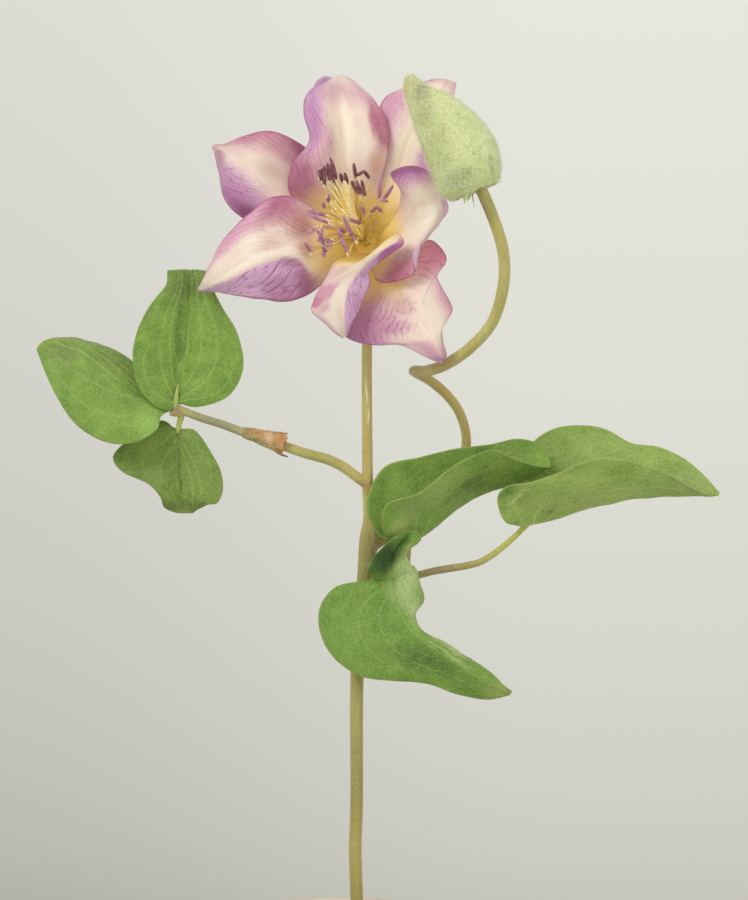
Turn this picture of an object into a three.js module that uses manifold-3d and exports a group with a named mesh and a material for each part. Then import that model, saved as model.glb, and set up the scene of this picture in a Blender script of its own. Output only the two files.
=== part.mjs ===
// Potted clematis: one flowering stem in a plain clay pot.
// Millimetres, +Z up. The origin is the middle of the pot's flat base, on the surface it stands on.
// The flower faces -Y. Every blade below is a list of sections from its base to its tip, and a
// section runs from the blade's left margin to its right one, seen from the upper face, tip up.

import * as THREE from "three";
import { mergeVertices } from "three/addons/utils/BufferGeometryUtils.js";
import Module from "manifold-3d";

const wasm = await Module();
wasm.setup();

// Driving dimensions

const GAP = 0.3;
const SEPAL_THICKNESS = 0.8;
const LEAF_THICKNESS = 0.8;
const SEPAL_GRID = { rows: 18, columns: 8 };
const LEAF_GRID = { rows: 18, columns: 6 };
const LOBE_GRID = { rows: 12, columns: 4 };
const HOLE_FACETS = 12;

const POT = {
  height: 110,
  rimRadius: 58,
  rimFootRadius: 57,
  rimHeight: 22,
  bodyTopRadius: 52.5,
  baseRadius: 39,
  innerBaseRadius: 36,
  wall: 5,
  base: 6,
  lip: 1.5,
  edge: 1,
  drainRadius: 4.5,
  drainRing: 22,
  drainCount: 3,
  facets: 36,
};

const SOIL = { top: 98, crown: 2.5, rings: [0.8, 0.4, 0], facets: 30, holeRadius: 3 };

// Where the flower's sepals meet, and where each leaflet's blade starts.
const FLOWER_CENTRE = [9.5, 0, 353.5];
const LEFT_LEAF = [-59, -5.5, 294.5];
const INNER_RIGHT_LEAFLET = [25, -4.5, 247];
const OUTER_RIGHT_LEAFLET = [67, 0, 252];
const LOWER_RIGHT_LEAFLET = [19, -5, 235];

// Stalks: centre line and radius, [x, y, z, radius]

const MAIN_STEM = [
  [6, 0, 60, 2.3],
  [6, 0, 98, 2.3],
  [6, 0, 117, 2.2],
  [5.5, 0, 135, 2.2],
  [6, 0, 153, 2.2],
  [6, 0, 192, 2.3],
  [7, 0, 214, 2.4],
  [8.5, 0, 230, 2.5],
  [9.5, 0, 239, 2.9],
  [10, 0, 247, 2.9],
  [10.5, 0, 254.5, 2.1],
  [10, 0, 265, 1.9],
  [9.7, 0, 297, 1.8],
  [9.7, 0, 315, 1.8],
  [10, 3, 329.5, 1.85],
  [10, 6.5, 340, 1.9],
  [10, 6.5, 346.5, 2],
  [9.8, 4.8, 350, 2.2],
  [9.6, 2.6, 352.2, 2.4],
];

const LEFT_STALK = [
  [10, 0, 266.5, 1.8],
  [5.8, -0.5, 269.5, 1.8],
  [1.5, -1, 272.7, 1.8],
  [-1.8, -1.5, 274.5, 1.8],
  [-5.2, -2.2, 275.9, 1.8],
  [-12, -3.2, 277.7, 1.75],
  [-18, -3.8, 279.7, 1.7],
  [-26.7, -4.4, 282.7, 1.55],
  [-34.8, -5, 285.4, 1.5],
  [-42.2, -5.3, 288.2, 1.45],
  [-49.6, -5.5, 290.5, 1.4],
  [-58.6, -5.5, 293.9, 1.4],
];

const LOWER_LEFT_STALK = [
  [-56.5, -5.5, 292.6, 1.1],
  [-57, -4.2, 290.5, 1.1],
  [-57.7, -2.6, 288.6, 1],
  [-58, -1.6, 287.2, 0.9],
];

const RIGHT_STALK = [
  [9.5, 0, 232, 2],
  [13.5, 0, 232.5, 1.7],
  [20, 0, 233, 1.4],
  [28, 0, 234, 1.3],
  [34, -1, 235.5, 1.3],
  [40, -1, 236.5, 1.3],
  [46, -1, 237.5, 1.25],
  [51, -1, 239, 1.15],
  [56.5, -1, 242.5, 1.1],
  [62.5, 0, 247.5, 1],
  [66.3, 0, 251.2, 0.9],
];

const INNER_RIGHT_STALK = [
  [23.5, 0, 233.5, 1.3],
  [24, -2, 237.5, 1.1],
  [24.5, -3.6, 242.5, 1],
  [24.8, -4.4, 246, 0.9],
];

const LOWER_RIGHT_STALK = [
  [16, 0, 232.8, 1.4],
  [16.8, -2.2, 233.4, 1.2],
  [18.2, -3.9, 234, 1],
  [19, -4.6, 234.4, 0.9],
];

const BUD_STALK = [
  [9.5, 0, 241, 2.4],
  [12, 1, 244.5, 2.2],
  [16, 3, 247, 1.9],
  [23.5, 7, 251.5, 1.8],
  [34.5, 11, 259.5, 1.7],
  [43, 13, 270, 1.7],
  [45.5, 12, 279, 1.7],
  [45.5, 10, 285.5, 1.7],
  [43, 8, 293, 1.75],
  [38.5, 5, 299, 1.8],
  [32.5, 2, 304, 1.85],
  [27.4, -2, 306.8, 1.9],
  [27, -6, 307.3, 1.95],
  [31, -10, 307.2, 2],
  [38, -14, 309.6, 2.05],
  [46.3, -20, 315.2, 2.05],
  [54, -27, 324.2, 2.05],
  [57.6, -33, 337, 2.05],
  [57.2, -38, 348.5, 2.05],
  [53.5, -42, 360, 2.05],
  [48.5, -44, 371.5, 2.1],
];

// Bud: its middle, half width and half depth from the tip down to the hem, [x, z, width, depth]

const BUD_DEPTH = -43;
const BUD_RINGS = [
  [24.4, 409, 1.6, 1.5],
  [25.1, 406.6, 3, 2.8],
  [27.5, 403.2, 4.7, 4.4],
  [31.6, 399, 7.5, 6.9],
  [35.5, 394, 9.7, 8.6],
  [38.8, 389.3, 11.1, 9.6],
  [41.2, 384.7, 12, 10.1],
  [43.4, 380.5, 12.3, 10.2],
  [45, 375.4, 11.8, 9.8],
  [46.1, 371.9, 10.8, 8.8],
  [47, 369.8, 9.2, 7.2],
];
const BUD_LEAN = THREE.MathUtils.degToRad(26);
const BUD_SIDES = 16;

// Dry sheath: a papery cone round the left stalk, [x, y, z, radius]

const SHEATH = [
  [-33, -4.8, 285, 2.3],
  [-28.5, -4.5, 283.7, 2.7],
  [-24, -4.3, 282.4, 3.3],
  [-19.8, -4, 281.4, 3.9],
];

// Sepals, from the middle of the flower

const SEPAL_TOP = [
  [[-3, -1, 3], [-2, -1.2, 3.6], [-1, -1.5, 4], [0, -1.2, 4], [1, -1, 4]],
  [[-12.5, -5, 8.5], [-7.5, -6, 10.5], [-3, -4, 12.5], [0, -5, 12.5], [3.5, -5, 12]],
  [[-26.5, -6, 16], [-16, -9.5, 18.5], [-6, -6, 20], [0, -8, 20.5], [5, -6.5, 20.5]],
  [[-27, -7, 27], [-16.5, -11, 27], [-7, -7, 28], [0.5, -10.5, 28.5], [7.5, -7.5, 30]],
  [[-20.5, -5, 36.5], [-14.5, -10.5, 36], [-7.5, -7, 36.5], [1.5, -10.5, 37], [8, -7, 37]],
  [[-22.5, -3, 47], [-16, -9, 46], [-8.5, -6, 45.5], [0, -9, 45], [6.5, -5, 45]],
  [[-20.5, -1, 55], [-16.5, -5.5, 54], [-9.5, -3.5, 53.5], [-3, -6, 53], [1.5, -3, 52.5]],
  [[-16, 3, 59.5], [-13, 1, 60], [-10.5, 1, 60], [-8, 1, 60], [-6, 3, 59.5]],
];

const SEPAL_UPPER_RIGHT = [
  [[0.5, 1, 4.5], [1.5, 0.6, 4], [2.5, 1, 3]],
  [[0.5, -1.5, 13.5], [5, -3.5, 12.5], [9, -5, 10]],
  [[2, -2, 24.5], [9.5, -4, 23.5], [16.5, -6.5, 18.5]],
  [[3.5, -2, 36], [14, -5, 34], [23.5, -6, 27.5]],
  [[4, -1.5, 45], [19, -4.5, 44], [28.5, -4, 37.5]],
  [[6.5, 0, 52], [23.5, -3, 51], [31, -2, 47]],
  [[14, 2, 56], [27, 0.5, 56], [31.5, 1, 53]],
  [[24, 5, 59.5], [28.5, 5, 59.5], [32.5, 5, 58]],
];

const SEPAL_RIGHT = [
  [[3.5, -1, 2], [3.7, -1.5, 1.2], [4, -1.6, 0.4], [4, -1.5, -0.5], [3.5, -1, -1.5]],
  [[7, -8, 5], [8, -10, 3], [9, -10.5, 0.5], [6.5, -10, -4], [2.5, -8.5, -8]],
  [[11.5, -13, 11.5], [12.5, -16, 6.5], [12.5, -17, 2], [9, -18, -6.5], [4, -16, -14.5]],
  [[12, -19, 17.5], [15, -22, 11.5], [16, -21, 4], [13.5, -23, -6], [10.5, -21, -15]],
  [[8.5, -24, 23], [16, -27, 15.5], [19.5, -25, 6], [18.5, -27.5, -4], [17, -25, -12]],
  [[15, -27, 25.5], [19.5, -29, 17], [22.5, -26.5, 7.5], [20.5, -29, 0.5], [16.5, -28, -5.5]],
  [[22, -25, 23.5], [24, -27, 16.5], [25.5, -26, 9.5], [24, -27, 4.5], [21.5, -26, 0]],
  [[25.5, -22, 16.5], [26.5, -22.5, 14], [27, -22, 11.5], [26.5, -22.5, 8], [24.5, -22, 4]],
  [[27.5, -17, 15.5], [28.5, -17, 13.5], [29, -16.5, 12], [28.5, -17, 9.5], [26.5, -17, 7]],
];

const SEPAL_LOWER_RIGHT = [
  [[3.5, 1, -2], [2.5, 0.6, -3], [1.5, 1, -4]],
  [[9, -7, -5], [5.5, -9, -9.5], [0.5, -8, -11]],
  [[16.5, -12, -4.5], [10, -15.5, -15.5], [-2, -13, -18]],
  [[23, -15, 0], [13.5, -19.5, -20.5], [-5.5, -16, -26]],
  [[28.5, -18, -6.5], [17, -22, -25], [-7.5, -17, -31]],
  [[25, -20, -12], [19, -23.5, -28], [-7, -17.5, -34.5]],
  [[26.5, -21, -17], [21, -24.5, -31.5], [-2.5, -18.5, -36.5]],
  [[30.5, -21, -24.5], [23, -25.5, -34.5], [3.5, -20.5, -37.5]],
  [[27, -22.5, -29.5], [25, -26, -38], [12, -23, -37.5]],
  [[27, -24, -36], [26.5, -25.5, -41.5], [20.5, -25, -41.5]],
  [[28.5, -24, -40.5], [28, -24, -42.5], [26.5, -24, -44]],
];

const SEPAL_BOTTOM = [
  [[0.8, -1, -3.8], [0, -1.4, -4.1], [-0.8, -1.5, -4.2], [-1.7, -1.4, -4.1], [-2.6, -1, -3.8]],
  [[5, -14, -4.5], [2, -14, -6], [-2, -13.5, -7], [-5, -13, -7], [-8, -12.5, -6]],
  [[10.5, -28, 1.5], [7, -26.5, -1], [-1.5, -21, -7.5], [-7, -20, -8.5], [-11.5, -18, -8]],
  [[13, -30, -1], [8.5, -30, -2.5], [-1, -25, -8], [-7.5, -23.5, -10], [-13, -20, -11]],
  [[7, -28, -6], [4, -30, -6], [-3, -28, -10.5], [-9, -26, -13], [-14.5, -22, -14]],
  [[1.5, -25, -11], [-2.5, -29.5, -11.5], [-8, -28, -14.5], [-12.5, -26.5, -16], [-16.5, -23, -17.5]],
  [[1, -25, -16], [-5.5, -30.5, -15.5], [-10.5, -29, -18.5], [-14.5, -27.5, -20.5], [-18.5, -24, -21.5]],
  [[-1, -25.5, -21.5], [-7.5, -31.5, -22], [-11.5, -30, -24], [-15.5, -28.5, -26], [-19, -25.5, -26]],
  [[-3.5, -26.5, -27], [-7.5, -31.5, -27], [-10, -30.5, -28.5], [-12.5, -29.5, -30], [-14.5, -28, -30]],
  [[-5.5, -28.5, -30.5], [-7.4, -31, -31], [-8.8, -30.6, -32], [-10.2, -30.2, -33], [-11.5, -29.5, -33]],
  [[-6.8, -29, -34.5], [-7.2, -29.4, -34.8], [-7.6, -29.5, -35], [-8, -29.4, -35], [-8.4, -29, -35]],
];

const SEPAL_LOWER_LEFT = [
  [[-3.4, -1, -2.8], [-3.8, -1.4, -2], [-4, -1.5, -1], [-4, -1.4, 0], [-3.6, -1, 1]],
  [[-10, -8, -6.5], [-10.5, -9.5, -4.5], [-10.5, -9.5, -1.5], [-10, -9, 1.5], [-8.5, -7.5, 5.5]],
  [[-16, -12, -15.5], [-19.5, -17, -10], [-18.5, -17, -3.5], [-18, -15, 3], [-17, -11, 10]],
  [[-22.5, -12, -20], [-25, -21.5, -6.5], [-26.5, -19.5, -2.5], [-26.5, -17, 5], [-24, -12, 15]],
  [[-29.5, -11, -21.5], [-32.5, -22, -7.5], [-35, -20, -3.5], [-35, -17, 5], [-32.5, -12, 16]],
  [[-38.5, -12, -20.5], [-41, -21, -11], [-43.5, -19, -7.5], [-44, -16.5, -0.5], [-41.5, -12, 10]],
  [[-48, -13, -19], [-49.5, -18.5, -14.5], [-51.5, -17, -12.5], [-52.5, -15, -8.5], [-50.5, -12, 1]],
  [[-54.5, -13, -18], [-55.5, -15, -16.5], [-56.5, -14.5, -15.5], [-57, -13.5, -13], [-55.5, -12, -8.5]],
  [
    [-59.4, -12, -18], [-59.6, -12.4, -17.6], [-59.8, -12.5, -17.2],
    [-59.7, -12.4, -16.8], [-59.4, -12, -16.4],
  ],
];

const SEPAL_UPPER_LEFT = [
  [[-4, 1, 0], [-4.2, 0.6, 1], [-4, 1, 2.5]],
  [[-12.5, -3, 0], [-12.5, -2.5, 4.5], [-10, 0, 9.5]],
  [[-24, -5, 2], [-24, -3.5, 11.5], [-20.5, -1, 22]],
  [[-34, -5.5, 4.5], [-33, -5, 16], [-28, -0.5, 36.5]],
  [[-44, -5, 8.5], [-41, -6, 22], [-36, -1, 40]],
  [[-51, -3, 15.5], [-48, -5, 27.5], [-44.5, -1.5, 38.2]],
  [[-53, -1, 25.5], [-52.5, -2, 32], [-50.5, -1, 35.8]],
  [[-55, 1, 34], [-55.5, 1, 34.6], [-55, 1, 35.4]],
];

// Leaflets, each from the point where its blade starts

const LEAFLET_LEFT_UPPER = [
  [[-0.8, -1, 0.8], [0.5, -0.6, 0.7], [2, -1, 1.1]],
  [[-7, -2.5, 2.5], [1, 0.5, 5.5], [9, -2.5, 0]],
  [[-13, -2.5, 8], [2, 1, 10.5], [19.5, -3.5, 4]],
  [[-15, -2.5, 16.5], [3.5, 1, 17], [24.5, -3.5, 14]],
  [[-14, -1.5, 25.5], [4.5, 1, 25], [22.5, -3, 26]],
  [[-9.5, -0.5, 35.5], [5, 1, 33.5], [17, -2, 35.5]],
  [[-3.5, 1.5, 43.5], [5.5, 2, 42], [13, 0, 43.5]],
  [[-3, 5, 48.3], [5, 5, 48.3], [11, 4.5, 48]],
  [[-0.5, 10.5, 46.5], [4.5, 11.5, 45.5], [9, 10.5, 46]],
  [[3, 14.5, 42], [4.5, 15, 41.5], [5.5, 14.5, 42]],
];

const LEAFLET_LEFT_OUTER = [
  [[-1, 0.8, -1], [-1, 0.9, 0], [-0.8, 0.8, 1]],
  [[-5, -2.5, -3.5], [-7, 1.5, 1], [-6.5, 3.5, 5]],
  [[-6.5, -5.5, -8.5], [-12.5, 1.5, 4], [-11, 5, 11]],
  [[-14.5, -7.5, -13], [-20, 0.5, 9], [-18, 6.5, 18]],
  [[-25, -7.5, -12.5], [-26.5, 0.5, 14.5], [-27, 7.5, 22.5]],
  [[-35.5, -5.5, -6], [-33.5, 1.5, 19.5], [-33.5, 7.5, 24]],
  [[-43, -2.5, 5], [-40, 3.5, 22], [-37.5, 7, 25]],
  [[-47.5, 1.5, 14.5], [-44.5, 5.5, 23.5], [-41, 7, 25]],
  [[-50, 5.5, 21], [-48, 6.5, 23.5], [-45, 7.5, 24.5]],
  [[-47.5, 11.5, 19.5], [-46, 12.5, 20.5], [-44.5, 11.5, 21.5]],
];

const LEAFLET_LEFT_LOWER = [
  [[2.4, 4, -8], [1, 4.2, -8], [-0.2, 4, -7.8]],
  [[7.5, 2.5, -9], [0.5, 4.5, -12], [-6, 5.5, -5]],
  [[13.5, 1.5, -17.5], [0.5, 5.5, -17.5], [-16, 5.5, -11]],
  [[16.5, 1.5, -24], [0.5, 6, -22.5], [-22.5, 4.5, -17.5]],
  [[17, 1.5, -30], [0.5, 6, -27], [-19.5, 2.5, -23]],
  [[15, 2, -34.5], [1, 6, -31.5], [-10, 1.5, -27.5]],
  [[12, 3.5, -35], [2.5, 6, -35], [-5.5, 2.5, -32.5]],
  [[8, 5.5, -36.6], [3.5, 6.5, -37.2], [-4, 5.5, -36.2]],
  [[6, 7.5, -38], [3.5, 7.5, -38], [1, 7.5, -38]],
  [[5.5, 12.5, -35.5], [4, 13.5, -34.5], [2.5, 12.5, -35.5]],
];

const LEAFLET_RIGHT_INNER = [
  [[-2, -1, 0.4], [-0.6, 0, 0.2], [0.6, -1, -0.4]],
  [[-10.5, -0.5, 1], [3.5, 1.5, 0.5], [-7, -3.5, -0.5]],
  [[-15, -1, 10], [9.5, 2, 4.5], [-10, -8, 5.5]],
  [[-14, 0, 18.5], [14, 3.5, 8.5], [-8, -11, 13]],
  [[-8, 2, 26.5], [18, 4, 11.5], [3, -12, 16.5]],
  [[4, 4, 29.5], [23, 4, 14.5], [13, -11, 24.5]],
  [[16.5, 6, 32.5], [28.5, 4, 17], [20.5, -9, 29]],
  [[29, 8, 34], [34.5, 3.5, 19], [29.5, -6.5, 32]],
  [[39, 9, 36], [40.5, 3, 21], [37, -4, 29]],
  [[47, 8, 34], [47, 3, 23.5], [44.5, -1, 26.5]],
  [[50.5, 4.5, 29], [51, 3.5, 26.5], [50, 2, 25.5]],
];

const LEAFLET_RIGHT_OUTER = [
  [[1, 2, 1], [0, 0, 0.3], [-1.5, -2, 0.3]],
  [[-4.5, 8, 3.5], [5, 0, 1], [-8, -8, 1.5]],
  [[-6.5, 11, 12.5], [11, 0, 2.5], [-10.8, -12, 9.5]],
  [[-3.5, 12, 21.5], [17, 0, 4.5], [-7.5, -14, 14]],
  [[2, 12, 29], [23.5, 0, 6.5], [0.5, -14, 15.5]],
  [[10, 11.5, 34.5], [31, 0, 8], [10, -14, 18.5]],
  [[20, 11, 36], [38, 0, 9.5], [19, -14, 22.5]],
  [[29.5, 10, 34.5], [45.5, -0.5, 10], [30, -13, 24]],
  [[38.5, 8, 29.5], [52, -1, 10.5], [42, -11, 21.5]],
  [[48.5, 6, 28], [58, -1.5, 10.5], [52, -8.5, 17.5]],
  [[58.5, 4, 23], [63, -1.5, 10.5], [60, -5.5, 13]],
  [[65.5, 1.5, 16.5], [67, -1.5, 10.5], [65.5, -3, 11]],
  [[69, -1, 12], [69.5, -1.5, 11.5], [69, -2, 10.5]],
];

const LEAFLET_RIGHT_LOWER = [
  [[1.5, 0, 0], [0, 0, -0.6], [-1.5, 0, -1]],
  [[7.5, -3, 2.5], [0.5, -2, -5.5], [-11, -3, -3]],
  [[10, -3.5, -4.5], [1, -3.5, -10], [-20.5, -4, -5]],
  [[11, -3, -9.5], [2.5, -4.5, -14], [-26, -5, -12]],
  [[8, -3, -14.5], [5, -6, -18.5], [-26, -6.5, -21]],
  [[10, -3, -20.5], [9.5, -7.5, -23], [-21, -8, -30]],
  [[17, -3, -24], [14.5, -8.5, -26.5], [-11.5, -9, -36.5]],
  [[23.5, -4, -28], [20.5, -9, -30.5], [-0.5, -9, -38]],
  [[30.5, -5, -32.5], [26.5, -9, -34.5], [11.5, -8.5, -39]],
  [[36, -5.5, -36.5], [32.5, -8, -38], [23, -7.5, -43]],
  [[39.5, -5.5, -40], [38, -6.5, -41], [33.5, -6.5, -45]],
  [[42.5, -5, -42], [42, -5, -43], [41.5, -5, -43.5]],
];

const LOBE_CROWN = 0.6;

// The lower right leaflet's small lobe, a hood that rises from its neck and cups to the front.
const RIGHT_LOWER_LOBE = [
  [[-4.8, -2, -1.8], [-1, -1, -1.4], [2.9, -1, -1]],
  [[-9, -9, 0.9], [-1.8, -3, 2.5], [3.2, -3, 4.6]],
  [[-8, -10, 4], [-1, -3.5, 6], [4, -3.5, 7.2]],
  [[-5.4, -10, 7.7], [0.7, -4.5, 9.3], [6.4, -5, 8.4]],
  [[-2.1, -9.5, 10.7], [3.2, -5.5, 11.8], [9.3, -7, 10.7]],
  [[1.4, -9, 13.4], [5.7, -6.5, 13.7], [10, -8, 12.5]],
  [[5, -8, 15.5], [6.6, -7, 15.2], [8.2, -8, 15]],
];

// Flower middle: bunches of stamens, [x, y, z, count, spread], and a tuft of styles

const BUNCHES = [
  [-14, -17, 25, 5, 2.2],
  [-3, -15, 26, 2, 1.5],
  [-3, -17, 19, 4, 2],
  [6.5, -16, 18.5, 3, 2],
  [3.5, -16, 12, 2, 1.6],
  [-2, -17, 11.5, 2, 1.6],
  [-14, -18, 15, 3, 2],
  [-17, -21.5, 10.5, 3, 1.8],
  [-5, -20, 5.5, 3, 2],
  [-19, -22, 4, 3, 1.8],
  [-14.5, -22, 2.5, 3, 1.8],
  [-8.5, -20, 0, 2, 1.6],
  [-13, -22, -1, 3, 1.8],
];
const STAMEN_FAN = [-9, -17, 12];
const STAMEN_REACH = 24;
const STAMEN_SEED = 41;
const THREAD_SIDES = 3;
const GOLDEN_ANGLE = 2.4;
const ANTHER = { length: 5, radius: 0.6, taper: 0.2, lift: 0.4 };
const FILAMENT = { radius: 0.38, bend: 2.5 };
const STYLE = { count: 9, radius: 0.4, spread: 3.2, rootSpread: 0.3, length: 20 };
const RECEPTACLE = { radius: 2.8, depth: 2.2, forward: 2.2, columns: 10, rings: 6 };

// Solids and meshes

function toSolid(geometry) {
  const bare = geometry.clone();
  bare.deleteAttribute("normal");
  bare.deleteAttribute("uv");
  const merged = mergeVertices(bare, 1e-4);
  return new wasm.Manifold(new wasm.Mesh({
    numProp: 3,
    vertProperties: new Float32Array(merged.attributes.position.array),
    triVerts: new Uint32Array(merged.index.array),
  }));
}

function toGeometry(solid) {
  const mesh = solid.getMesh();
  const geometry = new THREE.BufferGeometry();
  geometry.setAttribute("position", new THREE.BufferAttribute(mesh.vertProperties, 3));
  geometry.setIndex(new THREE.BufferAttribute(mesh.triVerts, 1));
  geometry.computeVertexNormals();
  return geometry;
}

function union(solids) {
  return solids.reduce((whole, solid) => whole.add(solid));
}

function largestBody(solid) {
  return solid.decompose().reduce((best, body) => (body.volume() > best.volume() ? body : best));
}

// A small repeatable random source.
function seeded(seed) {
  let state = seed;
  return () => {
    state = (state * 16807) % 2147483647;
    return state / 2147483647;
  };
}

// Blades: a thin sheet through its sections

function splinePoint(points, t) {
  return new THREE.CatmullRomCurve3(points, false, "catmullrom", 0.5).getPoint(t);
}

// A creased blade runs straight from each margin to the rib, and its halves are arched by crown.
function bladeSurface(sections, { rows, columns, creased, crown }) {
  const across = sections.map((section) => {
    const points = section.map((point) => new THREE.Vector3(...point));
    return Array.from({ length: columns + 1 }, (_, column) => {
      const v = column / columns;
      if (!creased) return splinePoint(points, v);
      return v < 0.5
        ? points[0].clone().lerp(points[1], v * 2)
        : points[1].clone().lerp(points[2], v * 2 - 1);
    });
  });
  const grid = Array.from({ length: rows + 1 }, (_, row) =>
    across[0].map((_point, column) => splinePoint(across.map((line) => line[column]), row / rows)));
  if (!creased) return grid;
  const normals = gridNormals(grid);
  return grid.map((line, row) => line.map((point, column) => {
    const half = (column / columns * 2) % 1;
    const lift = crown * 4 * half * (1 - half) * Math.sqrt(Math.sin(Math.PI * row / rows));
    return point.clone().addScaledVector(normals[row][column], lift);
  }));
}

function gridNormals(grid) {
  const rows = grid.length - 1;
  const columns = grid[0].length - 1;
  return grid.map((line, row) => line.map((_point, column) => {
    const along = grid[Math.min(row + 1, rows)][column].clone()
      .sub(grid[Math.max(row - 1, 0)][column]);
    const across = line[Math.min(column + 1, columns)].clone()
      .sub(line[Math.max(column - 1, 0)]);
    return across.cross(along).normalize();
  }));
}

// Both faces of the sheet are split into triangles alike, so they stay one thickness apart.
function blade(sections, thickness, { rows, columns }, { creased = false, crown = 0 } = {}) {
  const grid = bladeSurface(sections, { rows, columns, creased, crown });
  const normals = gridNormals(grid);
  const width = columns + 1;
  const count = width * (rows + 1);
  const positions = [];
  for (const side of [0.5, -0.5]) {
    grid.forEach((line, row) => line.forEach((point, column) => {
      const shifted = point.clone().addScaledVector(normals[row][column], thickness * side);
      positions.push(...shifted.toArray());
    }));
  }
  const index = [];
  for (let row = 0; row < rows; row += 1) {
    for (let column = 0; column < columns; column += 1) {
      const a = row * width + column;
      const b = a + width;
      index.push(a, a + 1, b, a + 1, b + 1, b);
      index.push(a + count, b + count, a + 1 + count, a + 1 + count, b + count, b + 1 + count);
    }
  }
  const rim = [];
  for (let column = 0; column < columns; column += 1) rim.push(column);
  for (let row = 0; row < rows; row += 1) rim.push(row * width + columns);
  for (let column = columns; column > 0; column -= 1) rim.push(rows * width + column);
  for (let row = rows; row > 0; row -= 1) rim.push(row * width);
  rim.forEach((from, i) => {
    const to = rim[(i + 1) % rim.length];
    index.push(to, from, from + count, to, from + count, to + count);
  });
  const geometry = new THREE.BufferGeometry();
  geometry.setAttribute("position", new THREE.Float32BufferAttribute(positions, 3));
  geometry.setIndex(index);
  return toSolid(geometry);
}

// Stalks: a closed cylinder bent along a path, with its radius read from the same path

function bentCylinder(sides, steps, place) {
  const geometry = new THREE.CylinderGeometry(1, 1, 1, sides, steps);
  const position = geometry.attributes.position;
  for (let i = 0; i < position.count; i += 1) {
    const step = Math.round((position.getY(i) + 0.5) * steps);
    position.setXYZ(i, ...place(step, position.getX(i), position.getZ(i)).toArray());
  }
  return toSolid(geometry);
}

function stalk(points, { sides, steps, extra = 0 }) {
  const path = new THREE.CatmullRomCurve3(points.map(([x, y, z]) => new THREE.Vector3(x, y, z)));
  const radii = points.map((point) => new THREE.Vector3(point[3] + extra, 0, 0));
  const frames = path.computeFrenetFrames(steps, false);
  return bentCylinder(sides, steps, (step, x, z) => {
    const u = step / steps;
    const radius = splinePoint(radii, path.getUtoTmapping(u)).x;
    return path.getPointAt(u)
      .addScaledVector(frames.binormals[step], x * radius)
      .addScaledVector(frames.normals[step], z * radius);
  });
}

// Pot: a turned wall with a thicker rim band and three drain holes

function potSolid() {
  const profile = [
    [0, 0],
    [POT.baseRadius - POT.edge, 0],
    [POT.baseRadius, POT.edge],
    [POT.bodyTopRadius, POT.height - POT.rimHeight],
    [POT.rimFootRadius - POT.edge, POT.height - POT.rimHeight],
    [POT.rimFootRadius, POT.height - POT.rimHeight + POT.edge],
    [POT.rimRadius, POT.height - POT.lip],
    [POT.rimRadius - POT.lip, POT.height],
    [POT.rimRadius - POT.wall + POT.lip, POT.height],
    [POT.rimRadius - POT.wall, POT.height - POT.lip],
    [POT.bodyTopRadius - POT.wall, POT.height - POT.rimHeight],
    [POT.innerBaseRadius, POT.base],
    [0, POT.base],
  ].map(([radius, height]) => new THREE.Vector2(radius, height));
  const turned = new THREE.LatheGeometry(profile, POT.facets);
  turned.rotateX(Math.PI / 2);
  let pot = toSolid(turned);
  for (let i = 0; i < POT.drainCount; i += 1) {
    const angle = (i + 0.5) * 2 * Math.PI / POT.drainCount;
    const length = 3 * POT.base;
    const drain = new THREE.CylinderGeometry(POT.drainRadius, POT.drainRadius, length, HOLE_FACETS);
    drain.rotateX(Math.PI / 2);
    drain.translate(POT.drainRing * Math.cos(angle), POT.drainRing * Math.sin(angle), 0);
    pot = pot.subtract(toSolid(drain));
  }
  return pot;
}

// Soil: fills the pot to just under the rim, with a plain hole where the stem stands

function innerRadius(height) {
  const shoulder = POT.height - POT.rimHeight;
  const low = POT.innerBaseRadius;
  const middle = POT.bodyTopRadius - POT.wall;
  const high = POT.rimRadius - POT.wall;
  if (height < shoulder) {
    return low + (middle - low) * (height - POT.base) / (shoulder - POT.base);
  }
  return middle + (high - middle) * (height - shoulder) / (POT.rimHeight - POT.lip);
}

function soilSolid() {
  const shoulder = POT.height - POT.rimHeight;
  const bottom = POT.base + GAP;
  const clear = 2 * GAP;
  const edge = SOIL.top - SOIL.crown;
  const edgeRadius = innerRadius(edge) - clear;
  const dome = SOIL.rings.map((share) => [edgeRadius * share, SOIL.top - SOIL.crown * share * share]);
  const profile = [
    [0, bottom],
    [innerRadius(bottom) - clear, bottom],
    [innerRadius(shoulder) - clear, shoulder],
    [edgeRadius, edge],
    ...dome,
  ].map(([radius, height]) => new THREE.Vector2(radius, height));
  const turned = new THREE.LatheGeometry(profile, SOIL.facets);
  turned.rotateX(Math.PI / 2);
  const [x, , bottomOfStem] = MAIN_STEM[0];
  const depth = SOIL.top - bottomOfStem + 2 * GAP;
  const hole = new THREE.CylinderGeometry(SOIL.holeRadius, SOIL.holeRadius, 2 * depth, HOLE_FACETS);
  hole.rotateX(Math.PI / 2);
  hole.translate(x, 0, bottomOfStem - GAP + depth);
  return toSolid(turned).subtract(toSolid(hole));
}

// Bud: rings square to its leaning axis

function budSolid() {
  const width = new THREE.Vector3(Math.cos(BUD_LEAN), 0, Math.sin(BUD_LEAN));
  const rings = BUD_RINGS.slice().reverse();
  const centres = rings.map(([x, z]) => new THREE.Vector3(x, BUD_DEPTH, z));
  const sizes = rings.map((ring) => new THREE.Vector3(ring[2], ring[3], 0));
  const steps = 2 * (rings.length - 1);
  return bentCylinder(BUD_SIDES, steps, (step, x, z) => {
    const size = splinePoint(sizes, step / steps);
    return splinePoint(centres, step / steps)
      .addScaledVector(width, x * size.x)
      .add(new THREE.Vector3(0, -z * size.y, 0));
  });
}

// Stamens and styles: threads from the receptacle, fused with it; a stamen swells into its anther

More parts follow.
